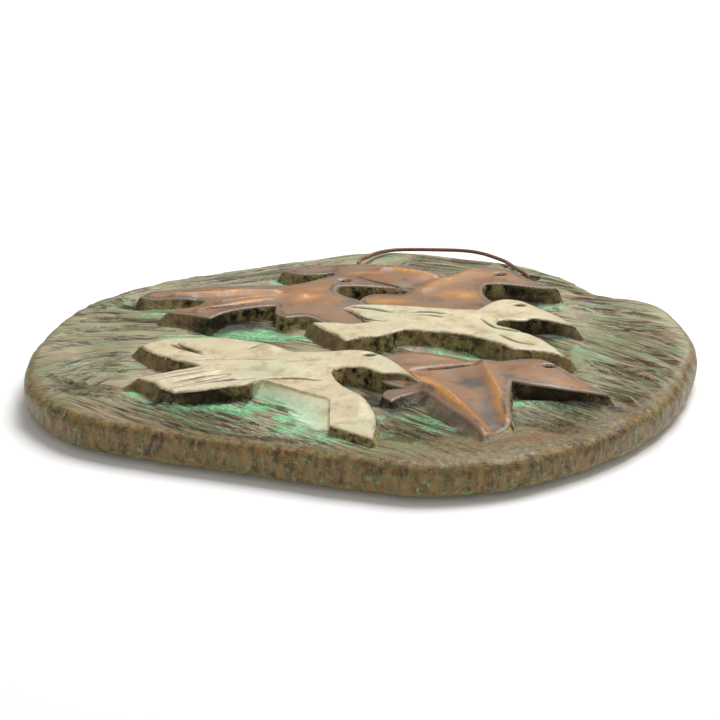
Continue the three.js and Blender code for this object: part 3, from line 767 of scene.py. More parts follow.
# %% Pressing the square into the rim's outline
EDGE_PROFILE = [
    (6.0, 22.0), (4.6, 21.85), (3.2, 21.3), (1.9, 20.2), (0.9, 18.6), (0.3, 16.8), (0.1, 15.0),
    (0.0, 13.0), (0.0, 11.0), (0.0, 9.0), (0.2, 7.2), (0.7, 5.4), (1.6, 4.0), (3.2, 2.6),
    (5.6, 1.5), (9.4, 0.6), (15.0, 0.0),
]
SOFT_SHOULDER = 312
SOFT_SHARE = 1.1

row = np.round(-places[:, 2]).astype(int)
sx = places[:, 0]
sy = places[:, 1]
disc_x = sx * np.sqrt(1 - sy**2 / 2)
disc_y = sy * np.sqrt(1 - sx**2 / 2)
angle = np.arctan2(disc_y, disc_x)
off_soft = np.abs((np.degrees(angle) - SOFT_SHOULDER + 180) % 360 - 180)
soften = 1 + SOFT_SHARE * np.exp(-((off_soft / 34) ** 2))
inset = np.array([step[0] for step in EDGE_PROFILE])[row]
inset = np.where(row < 6, inset * soften, inset)
level = np.array([step[1] for step in EDGE_PROFILE])[row]
shoulder = SHOULDER_REACH * soften

around = angle * PLAQUE_RADIUS
wave = 0.55 * soft_noise(around, level * 2, 16, 5) + 0.3 * soft_noise(around, level * 1.5, 5, 6)
chip = np.clip(soft_noise(around, level, 6, 12) - 0.25, 0, 1) * ((level < 6) & (level > 1)) * 1.6
grown = np.where((row > 3) & (row < EDGE_ROWS - 1), wave - chip, 0)
radius = rim_radius(angle) - hand_cut(angle) - inset + np.clip(grown, None, 0.4) * (row > 0)
px = disc_x * radius
py = disc_y * radius

# %% [markdown]
# A grid's points never fall just on a bird's outline, and the outline would look like a saw. Points
# that are close to it, or to the foot of its wall, are slid sideways onto it before the heights are
# worked out.

# %% Sliding points onto the outlines
CELL = 2 * PLAQUE_RADIUS / GRID_CELLS
HIGHEST = cad_box[1][2] / MM - 0.05

face = np.nonzero(row == 0)[0]
fx = px[face]
fy = py[face]
found, _ = survey(fx, fy)
closest = np.full(fx.shape, 0.55 * CELL)
slid_x = fx.copy()
slid_y = fy.copy()
for bird, near, signed, nx, ny in found:
    closer = np.abs(signed) < closest[near]
    target = near[closer]
    closest[target] = np.abs(signed[closer])
    slid_x[target] = nx[closer]
    slid_y[target] = ny[closer]
fx = slid_x
fy = slid_y
height, _ = relief(fx, fy)

face_angle = np.arctan2(fy, fx)
from_rim = rim_radius(face_angle) - hand_cut(face_angle) - np.hypot(fx, fy) - shoulder[face]
height = np.minimum(height, HIGHEST)
height = SLAB_THICKNESS + (height - SLAB_THICKNESS) * (0.5 + 0.5 * ease(from_rim / 7))
height -= 0.6 * np.exp(-((from_rim / 6) ** 2))
px[face] = fx
py[face] = fy
level = level.astype(float)
level[face] = height

at_border = from_rim < 0.4
order = np.argsort(np.arctan2(fy[at_border], fx[at_border]))
border_angles = np.arctan2(fy[at_border], fx[at_border])[order]
border_heights = height[at_border][order]
lift = np.interp(np.arctan2(py, px), border_angles, border_heights, period=2 * math.pi)
fade = np.clip((level - 14) / 8, 0, 1)
level = np.where(row > 0, level + (lift - SLAB_THICKNESS) * fade, level)

places[:, 0] = px * MM
places[:, 1] = py * MM
places[:, 2] = np.maximum(level, 0) * MM
clay.data.vertices.foreach_set("co", places.ravel())
clay.data.update()
print("face from", round(height.min(), 1), "to", round(height.max(), 1), "mm")

# %% [markdown]
# The cord's holes are drilled right through, flared at the face and with a round pocket at the
# back for the knot. A Boolean modifier with a turned cutter does each one. The mesh is then thinned
# where it is nearly flat, which keeps the points for the outlines and the combing.

# %% Drilling the holes and thinning the mesh
HOLE_RADIUS = 4.0
MOUTH_RADIUS = 6.0
MOUTH_DEPTH = 5.0
POCKET_RADIUS = 8.0
OVERSHOOT = 4.0
TRIANGLE_LIMIT = 194000


def boolean_cut(cutter):
    """Takes the cutter out of the clay and deletes it."""
    modifier = clay.modifiers.new("cut", "BOOLEAN")
    modifier.operation = "DIFFERENCE"
    modifier.solver = "MANIFOLD"
    modifier.object = cutter
    bpy.context.view_layer.objects.active = clay
    bpy.ops.object.modifier_apply(modifier=modifier.name)
    bpy.data.objects.remove(cutter)


def drill(hole):
    """A through hole, its flared mouth and its pocket."""
    x, y = (value * MM for value in hole)
    flare = MOUTH_RADIUS + (MOUTH_RADIUS - HOLE_RADIUS) * OVERSHOOT / MOUTH_DEPTH
    bottom = (SLAB_THICKNESS - MOUTH_DEPTH) * MM
    top = (SLAB_THICKNESS + OVERSHOOT) * MM
    for low, high, below, above in (
        (-OVERSHOOT * MM, POCKET_DEPTH * MM, POCKET_RADIUS, POCKET_RADIUS),
        (POCKET_DEPTH * MM * 0.9, bottom + 0.1 * MM, HOLE_RADIUS, HOLE_RADIUS),
        (bottom, top, HOLE_RADIUS, flare),
    ):
        bpy.ops.mesh.primitive_cone_add(
            vertices=48,
            radius1=below * MM,
            radius2=above * MM,
            depth=high - low,
            location=(x, y, (low + high) / 2),
        )
        boolean_cut(bpy.context.object)


for hole in (LEFT_HOLE, RIGHT_HOLE):
    drill(hole)

thin = clay.modifiers.new("thin", "DECIMATE")
triangles = sum(len(polygon.vertices) - 2 for polygon in clay.data.polygons)
thin.ratio = min(1, TRIANGLE_LIMIT / triangles)
thin.use_collapse_triangulate = True
bpy.ops.object.modifier_apply(modifier=thin.name)
print("triangles before", triangles, "and after", len(clay.data.polygons))

# %% [markdown]
# The finished mesh is asked once more what each of its points is, and the answers are kept as
# attributes. Crisp changes of glaze, from a bird's back to its wall, are kept for each face; soft
# ones for each point. The glaze is mixed from them, so it follows every outline, groove and pool
# however the plaque is turned.

# %% Marking the mesh for its glazes
# Each patch: x, y, length, width, turn, strength
POOLS = [
    (-72, 26, 46, 17, -8, 1.0), (-88, -102, 44, 15, -16, 1.0), (-118, -46, 16, 12, 30, 0.5),
    (-52, 134, 14, 8, 0, 1.0), (100, 84, 30, 9, -6, 1.0), (116, 22, 18, 11, -40, 0.9),
    (6, -104, 24, 12, -50, 0.6), (84, -100, 16, 12, 0, 0.9), (30, -128, 30, 16, -50, 0.6),
    (98, -2, 30, 14, 50, 0.6), (40, -10, 60, 10, -4, 0.8), (-128, 66, 24, 9, 0, 0.8),
    (-36, -146, 44, 10, -32, 0.75), (150, 70, 30, 14, -20, 0.3), (-150, 96, 26, 12, 40, 0.35),
    (-132, -78, 24, 8, -30, 0.6), (110, -118, 34, 14, -14, 0.6), (-166, 20, 30, 12, 10, 0.35),
    (-168, -40, 20, 16, -50, 0.35), (40, -160, 40, 6, -10, 0.5), (150, -20, 40, 14, -28, 0.3),
    (4, -128, 10, 30, 0, 0.5), (-62, -104, 16, 12, -30, 1.0), (-40, -124, 26, 8, -35, 0.9),
]
OCHRES = [
    (28, 129, 20, 4, -27, 1.0), (43, -104, 48, 3.0, -66, 1.0), (10, 79, 16, 5, -8, 0.9),
    (-90, 85, 32, 3.2, 2, 0.95), (-65, 75, 26, 3, 14, 0.95), (-80, 61, 20, 3, 28, 0.85),
    (-38, 73, 10, 5, 30, 0.95), (48, 109, 26, 6, 48, 0.8), (57, 83, 15, 8, 0, 0.95),
    (-4, 129, 12, 3, 0, 0.9), (72, -112, 40, 2.8, -84, 0.9), (34, -76, 14, 4, -60, 0.8),
    (86, -152, 28, 6, 6, 0.85), (84, 114, 20, 5, -36, 0.5), (112, -88, 28, 4, -36, 0.6),
    (42, -33, 22, 4, -18, 0.8), (61, -152, 8, 12, 0, 0.8), (92, -60, 14, 3, -30, 0.4),
    (-30, 92, 16, 4, 20, 0.5),
]

# Dark glaze and painted shadow: near-black patches where shade falls under the birds' heads and
# wings
DARK_GLAZE_AND_SHADOWS = [
    (-2, -84, 18, 11, -50, 1.0), (12, -104, 8, 10, 0, 0.9), (24, -96, 10, 6, -20, 0.8),
    (102, 24, 26, 8, -24, 1.0), (-4, 84, 12, 10, -50, 1.0), (92, 94, 22, 9, -6, 0.9),
    (106, -96, 34, 8, -24, 1.0), (-84, 44, 26, 7, 14, 0.9), (-118, -94, 12, 4, 20, 0.7),
    (-88, -94, 22, 4, 12, 0.9),
    (-76, 46, 18, 8, 8, 0.9), (-30, 122, 14, 5, 0, 0.8),
]

SLATES = [
    (57, -78, 9, 8, -60, 1.0), (65, -128, 5, 20, 6, 0.9), (60, -104, 5, 12, -70, 0.7),
    (20, -46, 16, 7, -10, 0.6), (-16, 62, 12, 9, 60, 0.6), (36, 74, 14, 8, 10, 0.6),
    (-116, 87, 12, 3, 0, 0.5), (30, 108, 10, 5, -30, 0.6), (-60, 92, 24, 4, 0, 0.4),
]

APRONS = [(100, -150, 60, 28, 35, 1.0), (60, -165, 44, 22, 10, 1.0), (150, -110, 44, 24, 50, 0.9)]
BEVELS = [(40, -112, 42, 15, -62, 1.0), (22, -92, 12, 8, 0, 0.6), (84, -30, 20, 10, -20, 0.3)]

# The way the combing runs, by the middle of each stretch of ground: x, y, then which way
SWEEPS = {
    "sweep_out": [(140, 66), (70, 170), (170, 60), (-70, 15), (30, 0), (110, 100), (120, 120)],
    "sweep_down": [(20, -130), (-110, -105), (-50, -150), (40, -140), (105, -112), (160, 10),
                   (150, -20), (150, -60), (-140, -90)],
    "sweep_up": [(-70, 150), (-130, 118), (-20, 170), (-160, -38), (-150, -24), (-170, -50)],
    "sweep_level": [(-160, 25), (-140, 20), (-155, 66), (-110, 20), (80, -160), (120, -150)],
}
SWEEP_REACH = 34.0
SWEEP_SHARPNESS = 5


def patches(x, y, places):
    """Soft ovals, as strong as each one says."""
    total = np.zeros(x.shape)
    for *shape, strength in places:
        total = np.maximum(total, strength * np.exp(-0.7 * oval(x, y, *shape)))
    return total


def keep(name, values, domain="POINT"):
    """Stores numbers on the clay's points or faces."""
    attribute = clay.data.attributes.new(name, "FLOAT", domain)
    attribute.data.foreach_set("value", values.astype(np.float32))


def read_points():
    """The clay's points in millimetres."""
    values = np.empty(len(clay.data.vertices) * 3)
    clay.data.vertices.foreach_get("co", values)
    return values.reshape(-1, 3) / MM


def on_the_face(x, y, z):
    """True on the carved side, inside the shoulder."""
    reach = rim_radius(np.arctan2(y, x)) - np.hypot(x, y)
    return (reach > SHOULDER_REACH * 0.7) & (z > SLAB_THICKNESS * 0.6), reach


points = read_points()
vx, vy, vz = points.T
on_face, reach = on_the_face(vx, vy, vz)
_, masks = relief(vx, vy)
for name in ("edge", "rim_line", "ridge", "line", "panel", "groove", "low", "foot"):
    keep(name, np.where(on_face, masks[name], 0))
for name, places in (
    ("pool", POOLS), ("ochre", OCHRES), ("dark_glaze_and_shadow", DARK_GLAZE_AND_SHADOWS), ("bevel", BEVELS), ("slate", SLATES)
):
    keep(name, patches(vx, vy, places) * on_face)
keep("base", ease((8 - vz) / 5) * (vz > 0.6))
front = np.clip(-vy / 120, 0, 1)
apron = ease((34 - reach - 0.12 * np.abs(vx - 40)) / 22) * ease((-vy - 90) / 60) * on_face
keep("front", np.maximum(0.75 * apron, patches(vx, vy, APRONS) * on_face))
keep("rim", ease((SHOULDER_REACH * 1.25 + 7 * front - reach) / (5 + 5 * front)) * (vz > 1))

weights = {
    name: sum(
        np.exp(-((vx - cx) ** 2 + (vy - cy) ** 2) / (2 * SWEEP_REACH**2)) for cx, cy in middles
    )
    ** SWEEP_SHARPNESS
    for name, middles in SWEEPS.items()
}
total = sum(weights.values()) + 1e-12
for name, weight in weights.items():
    keep(name, weight / total)

centres = np.empty(len(clay.data.polygons) * 3)
clay.data.polygons.foreach_get("center", centres)
cx, cy, cz = centres.reshape(-1, 3).T / MM
_, masks = relief(cx, cy)
face_side, _ = on_the_face(cx, cy, cz)
for name in ("bird", "ivory", "wall", "slant"):
    keep(name, masks[name] * face_side, "FACE")
keep("back", (cz < 0.4).astype(float), "FACE")
print("attributes:", len(clay.data.attributes))

# %% [markdown]
# Materials are built from a few small helpers: one adds a node and sets its sockets by name, one
# mixes two colours, and one turns a number through a range.


# %% Helpers for materials
class Glaze:
    """A material with its node tree, and short ways to add to it."""

    def __init__(self, name):
        self.material = bpy.data.materials.new(name)
        self.material.use_nodes = True
        self.tree = self.material.node_tree
        self.shader = self.tree.nodes["Principled BSDF"]
        self.place = self.node("ShaderNodeTexCoord").outputs["Object"]

    def node(self, kind, **sockets):
        """Adds a node and sets or links its inputs."""
        made = self.tree.nodes.new(kind)
        for name, value in sockets.items():
            self.put(made.inputs[name.replace("_", " ")], value)
        return made

    def put(self, socket, value):
        """Links a socket to another node's output, or sets its value."""
        if isinstance(value, bpy.types.NodeSocket):
            self.tree.links.new(value, socket)
        else:
            socket.default_value = value

    def mask(self, name):
        """An attribute of the mesh as a number."""
        found = self.node("ShaderNodeAttribute")
        found.attribute_name = name
        return found.outputs["Fac"]

    def mix(self, share, low, high):
        """Two colours mixed."""
        made = self.tree.nodes.new("ShaderNodeMix")
        made.data_type = "RGBA"
        self.put(made.inputs[0], share)
        for socket, value in ((made.inputs[6], low), (made.inputs[7], high)):
            self.put(socket, (*value, 1) if isinstance(value, tuple) else value)
        return made.outputs[2]

    def sum(self, operation, first, second):
        """Two numbers combined, held between 0 and 1."""
        made = self.tree.nodes.new("ShaderNodeMath")
        made.operation = operation
        made.use_clamp = True
        self.put(made.inputs[0], first)
        self.put(made.inputs[1], second)
        return made.outputs[0]

    def times(self, first, second):
        """Two numbers multiplied."""
        return self.sum("MULTIPLY", first, second)

    def plus(self, first, second):
        """Two numbers added."""
        return self.sum("ADD", first, second)

    def spread(self, value, low, high, to_low=0.0, to_high=1.0):
        """A number's range from low to high drawn out to a new range."""
        ends = {"From_Min": low, "From_Max": high, "To_Min": to_low, "To_Max": to_high}
        return self.node("ShaderNodeMapRange", Value=value, **ends).outputs[0]

    def noise(self, scale, detail=3.0, roughness=0.6, stretch=None, turn=0.0):
        """Noise in the object's own coordinates, stretched along its axes if asked."""
        place = self.place
        if stretch:
            turned = (0, 0, math.radians(turn))
            place = self.node("ShaderNodeMapping", Vector=place, Rotation=turned).outputs[0]
            place = self.node("ShaderNodeMapping", Vector=place, Scale=stretch).outputs[0]
        look = {"Scale": scale, "Detail": detail, "Roughness": roughness}
        return self.node("ShaderNodeTexNoise", Vector=place, **look).outputs[0]

    def bump(self, height, strength, distance, **under):
        """Fine relief as a normal, on top of another one if that is given."""
        amount = {"Strength": strength, "Distance": distance}
        return self.node("ShaderNodeBump", Height=height, **amount, **under).outputs[0]


# %% [markdown]
# The glaze. Real ash and copper glazes run off high places and pool in low ones, so the colour is
# worked out from the same marks as the carving: thin brown on ridges, verdigris in the hollows,
# near-black iron in the cuts and on the walls, ivory slip on two birds and a glossy rust on three.
# The dark in the groove cuts, at the foot of the walls and under the heads and wings is partly
# painted shade.

# %% The marks that the glaze follows
stone = Glaze("glazed_stoneware")
bird, ivory, wall, slant, back = map(stone.mask, ("bird", "ivory", "wall", "slant", "back"))
edge, rim_line, ridge, line = map(stone.mask, ("edge", "rim_line", "ridge", "line"))
panel, groove, low, foot = map(stone.mask, ("panel", "groove", "low", "foot"))
pool, ochre, dark_glaze_and_shadow, slate = map(stone.mask, ("pool", "ochre", "dark_glaze_and_shadow", "slate"))
bevel, base, front, rim = map(stone.mask, ("bevel", "base", "front", "rim"))

broad = stone.noise(24, 3)
patchy = stone.noise(80, 4)
fine = stone.noise(380, 4)
speck = stone.noise(1100, 2)

# %% [markdown]
# The tool leaves streaks finer than any mesh, and glaze breaks along them. Four noises are drawn
# out along the four ways that the combing runs, and the marks say which of them holds where.

# %% Streaks along the combing
SWEEP_TURNS = {"sweep_out": -22, "sweep_down": -44, "sweep_up": 26, "sweep_level": 2}


def swept(scale, long_scale, detail):
    """Noise drawn out along the combing."""
    total = None
    for name, turn in SWEEP_TURNS.items():
        drawn = stone.noise(1, detail, 0.6, stretch=(long_scale, scale, scale), turn=-turn)
        part = stone.times(stone.mask(name), drawn)
        total = part if total is None else stone.plus(total, part)
    return total


streak = swept(330, 18, 4)
thread = swept(1100, 70, 2)

# %% The combed ground
ground = stone.mix(stone.spread(patchy, 0.3, 0.7), (0.32, 0.245, 0.145), (0.49, 0.395, 0.24))
olive = stone.times(stone.spread(broad, 0.42, 0.58), 0.85)
ground = stone.mix(olive, ground, (0.24, 0.22, 0.10))
browner = stone.spread(streak, 0.48, 0.40)
ground = stone.mix(stone.times(browner, 0.85), ground, (0.075, 0.05, 0.034))
greener = stone.times(stone.spread(streak, 0.53, 0.58), stone.spread(patchy, 0.40, 0.56))
ground = stone.mix(stone.times(greener, 0.85), ground, (0.16, 0.34, 0.165))
verdigris = stone.mix(stone.spread(fine, 0.35, 0.65), (0.12, 0.36, 0.165), (0.33, 0.67, 0.36))
deep_pool = stone.plus(pool, stone.times(low, 0.3))
ragged = stone.plus(deep_pool, stone.spread(streak, 0.3, 0.7, -0.42, 0.42))
ragged = stone.plus(ragged, stone.spread(patchy, 0.3, 0.7, -0.3, 0.3))
ground = stone.mix(stone.spread(ragged, 0.62, 0.86), ground, verdigris)
apron = stone.times(front, stone.spread(patchy, 0.3, 0.7, 0.75, 1.0))
earth = stone.mix(stone.spread(fine, 0.4, 0.6), (0.10, 0.07, 0.03), (0.24, 0.18, 0.08))
ground = stone.mix(apron, ground, earth)
# Dark iron glaze in the groove cuts, darkened further as painted shade
cut = stone.times(groove, stone.spread(streak, 0.66, 0.42, 0.65, 1.0))
ground = stone.mix(stone.times(cut, 0.95), ground, (0.040, 0.026, 0.018))
spill = stone.spread(stone.plus(ochre, stone.spread(streak, 0.3, 0.7, -0.3, 0.3)), 0.45, 0.8)
ground = stone.mix(stone.times(spill, 0.8), ground, (0.26, 0.10, 0.035))
rust = stone.times(stone.spread(stone.noise(160, 2), 0.62, 0.70), stone.spread(fine, 0.4, 0.6))
ground = stone.mix(stone.times(rust, 0.7), ground, (0.26, 0.09, 0.035))
# Dark pooled glaze and painted shade at the foot of each bird's wall
foot_glaze_and_shade = stone.times(foot, stone.spread(patchy, 0.6, 0.4))
ground = stone.mix(stone.times(foot_glaze_and_shade, 0.75), ground, (0.030, 0.020, 0.012))

# Dark glaze and painted shadow: the ground goes near-black under the birds' heads and wings
dark_glaze_and_painted_shadow = stone.plus(dark_glaze_and_shadow, stone.spread(patchy, 0.3, 0.7, -0.2, 0.2))
dark_glaze_and_painted_shadow = stone.spread(dark_glaze_and_painted_shadow, 0.3, 0.75)
ground = stone.mix(stone.times(dark_glaze_and_painted_shadow, 0.92), ground, (0.018, 0.012, 0.007))

# %% The walls round the birds
scorched = stone.noise(170, 5, 0.7)
wall_tone = stone.mix(stone.spread(scorched, 0.40, 0.57), (0.012, 0.008, 0.005), (0.42, 0.33, 0.14))
mossy = stone.times(stone.spread(fine, 0.50, 0.66), stone.spread(broad, 0.42, 0.58))
wall_tone = stone.mix(mossy, wall_tone, (0.12, 0.155, 0.07))
pooled_wall = stone.spread(stone.plus(low, stone.spread(fine, 0.3, 0.7, -0.3, 0.3)), 0.25, 0.6)
wall_tone = stone.mix(stone.times(pooled_wall, 0.4), wall_tone, (0.10, 0.18, 0.09))
slant_tone = stone.mix(stone.spread(patchy, 0.3, 0.7), (0.23, 0.175, 0.08), (0.13, 0.08, 0.04))
wall_tone = stone.mix(stone.times(slant, 0.75), wall_tone, slant_tone)
bevel_tone = stone.mix(stone.spread(patchy, 0.38, 0.62), (0.27, 0.205, 0.15), (0.13, 0.11, 0.07))
wall_tone = stone.mix(stone.spread(bevel, 0.3, 0.75), wall_tone, bevel_tone)

# %% The rust-brown birds
rusty = stone.mix(stone.spread(broad, 0.36, 0.62), (0.25, 0.120, 0.054), (0.345, 0.175, 0.076))
mauve = stone.times(stone.spread(stone.noise(45, 3), 0.42, 0.60), 0.85)
rusty = stone.mix(mauve, rusty, (0.25, 0.17, 0.105))
warm = stone.plus(ochre, stone.times(ridge, 0.12))
warm = stone.times(warm, stone.spread(patchy, 0.2, 0.6, 0.6, 1))
rusty = stone.mix(stone.spread(warm, 0.2, 0.9), rusty, (0.54, 0.235, 0.055))
gold = stone.times(stone.spread(warm, 0.7, 1.0), stone.spread(fine, 0.45, 0.62))
rusty = stone.mix(gold, rusty, (0.70, 0.40, 0.12))
bluish = stone.times(stone.spread(stone.noise(60, 3), 0.60, 0.70), 0.7)
rusty = stone.mix(bluish, rusty, (0.075, 0.070, 0.065))
slaty = stone.plus(slate, stone.spread(patchy, 0.3, 0.7, -0.3, 0.3))
rusty = stone.mix(stone.spread(slaty, 0.35, 0.9), rusty, (0.095, 0.09, 0.085))
inked = stone.times(rim_line, stone.spread(patchy, 0.36, 0.56))
rusty = stone.mix(inked, rusty, (0.07, 0.065, 0.06))
rusty = stone.mix(stone.times(edge, 0.8), rusty, (0.22, 0.175, 0.14))
rusty = stone.mix(line, rusty, (0.016, 0.011, 0.009))

# %% The ivory birds
cream = stone.mix(stone.spread(patchy, 0.3, 0.7), (0.58, 0.48, 0.30), (0.75, 0.66, 0.44))
cream = stone.mix(stone.spread(broad, 0.50, 0.66, 0, 0.45), cream, (0.56, 0.62, 0.40))
stained = stone.times(stone.spread(stone.noise(70, 5, 0.7), 0.51, 0.65), 0.6)
cream = stone.mix(stained, cream, (0.38, 0.25, 0.12))
mint = stone.mix(stone.spread(fine, 0.3, 0.7), (0.44, 0.66, 0.44), (0.72, 0.84, 0.60))
cream = stone.mix(stone.spread(panel, 0.1, 0.7), cream, mint)
greened = stone.plus(panel, stone.spread(streak, 0.3, 0.7, -0.2, 0.2))
cream = stone.mix(stone.spread(greened, 0.72, 0.95), cream, (0.13, 0.34, 0.19))
cream = stone.mix(stone.spread(speck, 0.65, 0.71, 0, 0.6), cream, (0.20, 0.13, 0.07))
worn = stone.times(edge, stone.spread(patchy, 0.42, 0.56))
cream = stone.mix(stone.times(worn, 0.85), cream, (0.20, 0.14, 0.075))
cream = stone.mix(stone.spread(line, 0.05, 0.75), cream, (0.06, 0.04, 0.022))

# %% The rim and the back
drips = stone.noise(1, 5, 0.7, stretch=(220, 220, 90))
rim_tone = stone.mix(stone.spread(drips, 0.38, 0.60), (0.08, 0.043, 0.014), (0.29, 0.18, 0.058))
mossy_rim = stone.spread(stone.noise(170, 4, 0.7), 0.50, 0.60)
rim_tone = stone.mix(stone.times(mossy_rim, 0.7), rim_tone, (0.175, 0.175, 0.052))
blotch = stone.spread(stone.noise(1, 2, 0.5, stretch=(240, 240, 90)), 0.60, 0.68)
blotch = stone.times(blotch, stone.spread(broad, 0.40, 0.60, 0.4, 1.0))
rim_tone = stone.mix(blotch, rim_tone, (0.055, 0.038, 0.03))
flecks = stone.plus(stone.spread(fine, 0.3, 0.7, 0, 0.7), stone.times(base, 0.25))
rim_tone = stone.mix(stone.spread(flecks, 0.50, 0.66), rim_tone, (0.20, 0.34, 0.17))
rim_rust = stone.plus(stone.noise(240, 3), stone.times(base, 0.12))
rim_tone = stone.mix(stone.spread(rim_rust, 0.60, 0.68, 0, 0.8), rim_tone, (0.36, 0.13, 0.035))
tan = stone.times(base, stone.spread(patchy, 0.42, 0.56))
rim_tone = stone.mix(stone.times(tan, 0.7), rim_tone, (0.36, 0.27, 0.13))
bare = stone.mix(fine, (0.20, 0.14, 0.085), (0.27, 0.195, 0.125))

# %% Bringing the glazes together
colour = stone.mix(rim, ground, rim_tone)
# The same dark glaze and painted shadow darken the walls under the heads and wings
wall_tone = stone.mix(stone.times(dark_glaze_and_painted_shadow, 0.9), wall_tone, (0.014, 0.009, 0.005))
colour = stone.mix(wall, colour, wall_tone)
on_bird = stone.mix(ivory, rusty, cream)
colour = stone.mix(bird, colour, on_bird)
colour = stone.mix(back, colour, bare)
stone.put(stone.shader.inputs["Base Color"], colour)

off_bird = stone.sum("SUBTRACT", 1.0, bird)
rough = stone.spread(streak, 0.35, 0.65, 0.34, 0.54)
rough_brown = stone.spread(patchy, 0.3, 0.7, 0.30, 0.44)
rough_bird = stone.node("ShaderNodeMix", Factor=ivory, A=rough_brown, B=0.34)
mixed = stone.node("ShaderNodeMix", Factor=bird, A=rough, B=rough_bird.outputs[0])
dulled = stone.node("ShaderNodeMix", Factor=back, A=mixed.outputs[0], B=0.9)
stone.put(stone.shader.inputs["Roughness"], dulled.outputs[0])

dull = stone.sum("MAXIMUM", stone.times(cut, off_bird), stone.times(line, bird))
dull = stone.sum("MAXIMUM", dull, stone.times(wall, 0.7))
dull = stone.sum("MAXIMUM", dull, stone.times(front, 0.75))
stone.put(stone.shader.inputs["Specular IOR Level"], stone.spread(dull, 0, 1, 0.5, 0.05))
combed = stone.sum("SUBTRACT", stone.sum("SUBTRACT", off_bird, rim), wall)
combed = stone.times(combed, streak)
skins = stone.bump(combed, 1.0, 0.0016)
rough_skin = stone.plus(stone.times(off_bird, thread), stone.times(rim, fine))
threads = stone.bump(rough_skin, 0.6, 0.0006, Normal=skins)
grain = stone.bump(fine, 0.35, 0.0004, Normal=threads)
stone.put(stone.shader.inputs["Normal"], grain)

SMOOTH_BELOW = 38
clay.data.materials.clear()
clay.data.materials.append(stone.material)
bpy.ops.object.select_all(action="DESELECT")
clay.select_set(True)
bpy.context.view_layer.objects.active = clay
bpy.ops.object.shade_smooth_by_angle(angle=math.radians(SMOOTH_BELOW))
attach(clay, "root")
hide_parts("plaque")

# %% [markdown]
# The cord is a waxed braid. A plain tube is laid along the route, and its skin is then raised and
# lowered in two crossing helices, which is what a round braid's strands do. A texture alone would
# leave its outline smooth.

# %% The hanging cord
CORD_SIDES = 16
BRAID_LAY = 6.0
BRAID_RELIEF = 0.10

tube_path = smooth_line(CORD_ROUTE, 0.6)


def tube(name, path, radius, sides, closed=False):
    """A mesh tube along a path, with the braid's relief."""
    if closed:
        ahead = np.roll(path, -1, axis=0) - np.roll(path, 1, axis=0)
    else:
        ahead = np.gradient(path, axis=0)
    ahead /= np.linalg.norm(ahead, axis=1)[:, None]
    side = np.cross(ahead[0], (0.3, 0.2, 0.93))
    side /= np.linalg.norm(side)
    steps = np.linalg.norm(np.diff(path, axis=0), axis=1)
    along = np.concatenate([[0], np.cumsum(steps)])
    points = []
    for i, centre in enumerate(path):
        side = side - ahead[i] * side.dot(ahead[i])
        side /= np.linalg.norm(side)
        up = np.cross(ahead[i], side)
        for k in range(sides):
            turn = 2 * math.pi * k / sides
            lay = 2 * math.pi * along[i] / BRAID_LAY
            strands = max(abs(math.sin(2 * turn + lay)), abs(math.sin(2 * turn - lay)))
            r = radius * (1 - BRAID_RELIEF * (1 - strands))
            points.append(centre + r * (side * math.cos(turn) + up * math.sin(turn)))
    faces = []
    rings = len(path)
    for i in range(rings if closed else rings - 1):
        j = (i + 1) % rings
        for k in range(sides):
            n = (k + 1) % sides
            faces.append((i * sides + k, i * sides + n, j * sides + n, j * sides + k))
    if not closed:
        faces.append(tuple(reversed(range(sides))))
        faces.append(tuple((rings - 1) * sides + k for k in range(sides)))
    mesh = bpy.data.meshes.new(name)
    mesh.from_pydata([tuple(p * MM) for p in points], [], faces)
    for polygon in mesh.polygons:
        polygon.use_smooth = len(polygon.vertices) == 4
    made = bpy.data.objects.new(name, mesh)
    bpy.context.collection.objects.link(made)
    return made


cord = tube("waxed_cord", tube_path, CORD_DIAMETER / 2, CORD_SIDES)

# %% [markdown]
# Each end is tied in an overhand knot that is too large for its hole. A trefoil curve is that knot
# with its ends joined, and it needs only three sines.

# %% The knots
KNOT_HEIGHT = 3.4
KNOT_SIDES = 12
KNOT_SPREAD = 1.12
KNOT_MIDDLE = 5.75
KNOT_CORD_RADIUS = 1.15


def knot(name, hole, node):
    """A trefoil knot in the pocket behind a hole."""
    t = np.linspace(0, 2 * math.pi, 96, endpoint=False)
    path = np.stack(
        [
            hole[0] + KNOT_SPREAD * (np.sin(t) + 2 * np.sin(2 * t)),
            hole[1] + KNOT_SPREAD * (np.cos(t) - 2 * np.cos(2 * t)),
            KNOT_MIDDLE - 0.98 * KNOT_HEIGHT / 2 * np.sin(3 * t),
        ],
        axis=1,
    )
    made = tube(name, path, KNOT_CORD_RADIUS, KNOT_SIDES, closed=True)
    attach(made, "root")
    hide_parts(node)
    return made


left_knot = knot("left_knot", LEFT_HOLE, "cord_knot_left")
right_knot = knot("right_knot", RIGHT_HOLE, "cord_knot_right")

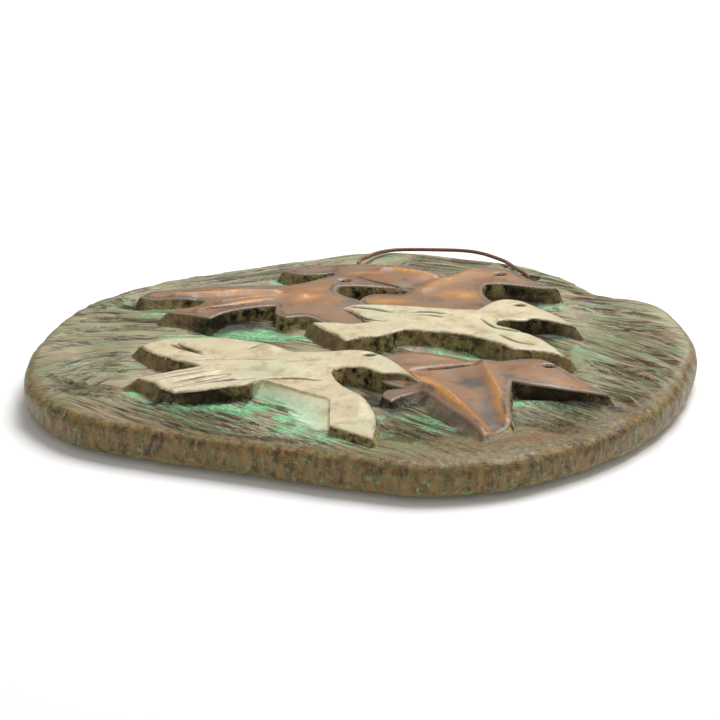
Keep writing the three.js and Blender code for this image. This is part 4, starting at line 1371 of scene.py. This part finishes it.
# %% The waxed cord's finish
wax = Glaze("waxed_cord")
thread = wax.noise(900, 3)
brown = wax.mix(wax.spread(thread, 0.3, 0.7), (0.12, 0.046, 0.026), (0.30, 0.15, 0.09))
wax.put(wax.shader.inputs["Base Color"], brown)
wax.shader.inputs["Roughness"].default_value = 0.48
wax.put(wax.shader.inputs["Normal"], wax.bump(thread, 0.4, 0.0003))
for piece in (cord, left_knot, right_knot):
    piece.data.materials.append(wax.material)

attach(cord, "root")
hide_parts("hanging_cord")
float(np.linalg.norm(np.diff(tube_path, axis=0), axis=1).sum() * MM)

# %% [markdown]
# The studio: a white floor under a white sky, and one large soft light above, behind and to the
# right. The floor is bright enough to go white, as a product photographer's does.

# %% Floor and light
SKY_STRENGTH = 0.34
FLOOR_GLOW = 0.06
KEY_PLACE = (0.6, 0.9, 2.0)
KEY_SIZE = 1.5
KEY_POWER = 62

bpy.ops.mesh.primitive_plane_add(size=12, location=(0, 0, -0.0002))
floor = bpy.context.object
floor.name = "floor"
white = bpy.data.materials.new("white_floor")
white.use_nodes = True
white_shader = white.node_tree.nodes["Principled BSDF"]
white_shader.inputs["Base Color"].default_value = (0.9, 0.9, 0.9, 1)
white_shader.inputs["Roughness"].default_value = 0.9
white_shader.inputs["Emission Color"].default_value = (1, 1, 1, 1)
white_shader.inputs["Emission Strength"].default_value = FLOOR_GLOW
floor.data.materials.append(white)

world = bpy.data.worlds.new("studio")
world.use_nodes = True
sky = world.node_tree.nodes["Background"]
sky.inputs["Color"].default_value = (1, 0.98, 0.95, 1)
sky.inputs["Strength"].default_value = SKY_STRENGTH
bpy.context.scene.world = world


def soft_light(name, place, size, power):
    """A square area light that looks at the plaque."""
    data = bpy.data.lights.new(name, "AREA")
    data.size = size
    data.energy = power
    light = bpy.data.objects.new(name, data)
    light.location = place
    towards = -np.array(place)
    towards /= np.linalg.norm(towards)
    light.rotation_euler = (math.acos(-towards[2]), 0, math.atan2(-towards[0], towards[1]))
    bpy.context.collection.objects.link(light)


soft_light("key", KEY_PLACE, KEY_SIZE, KEY_POWER)
bpy.context.scene.view_settings.view_transform = "Standard"
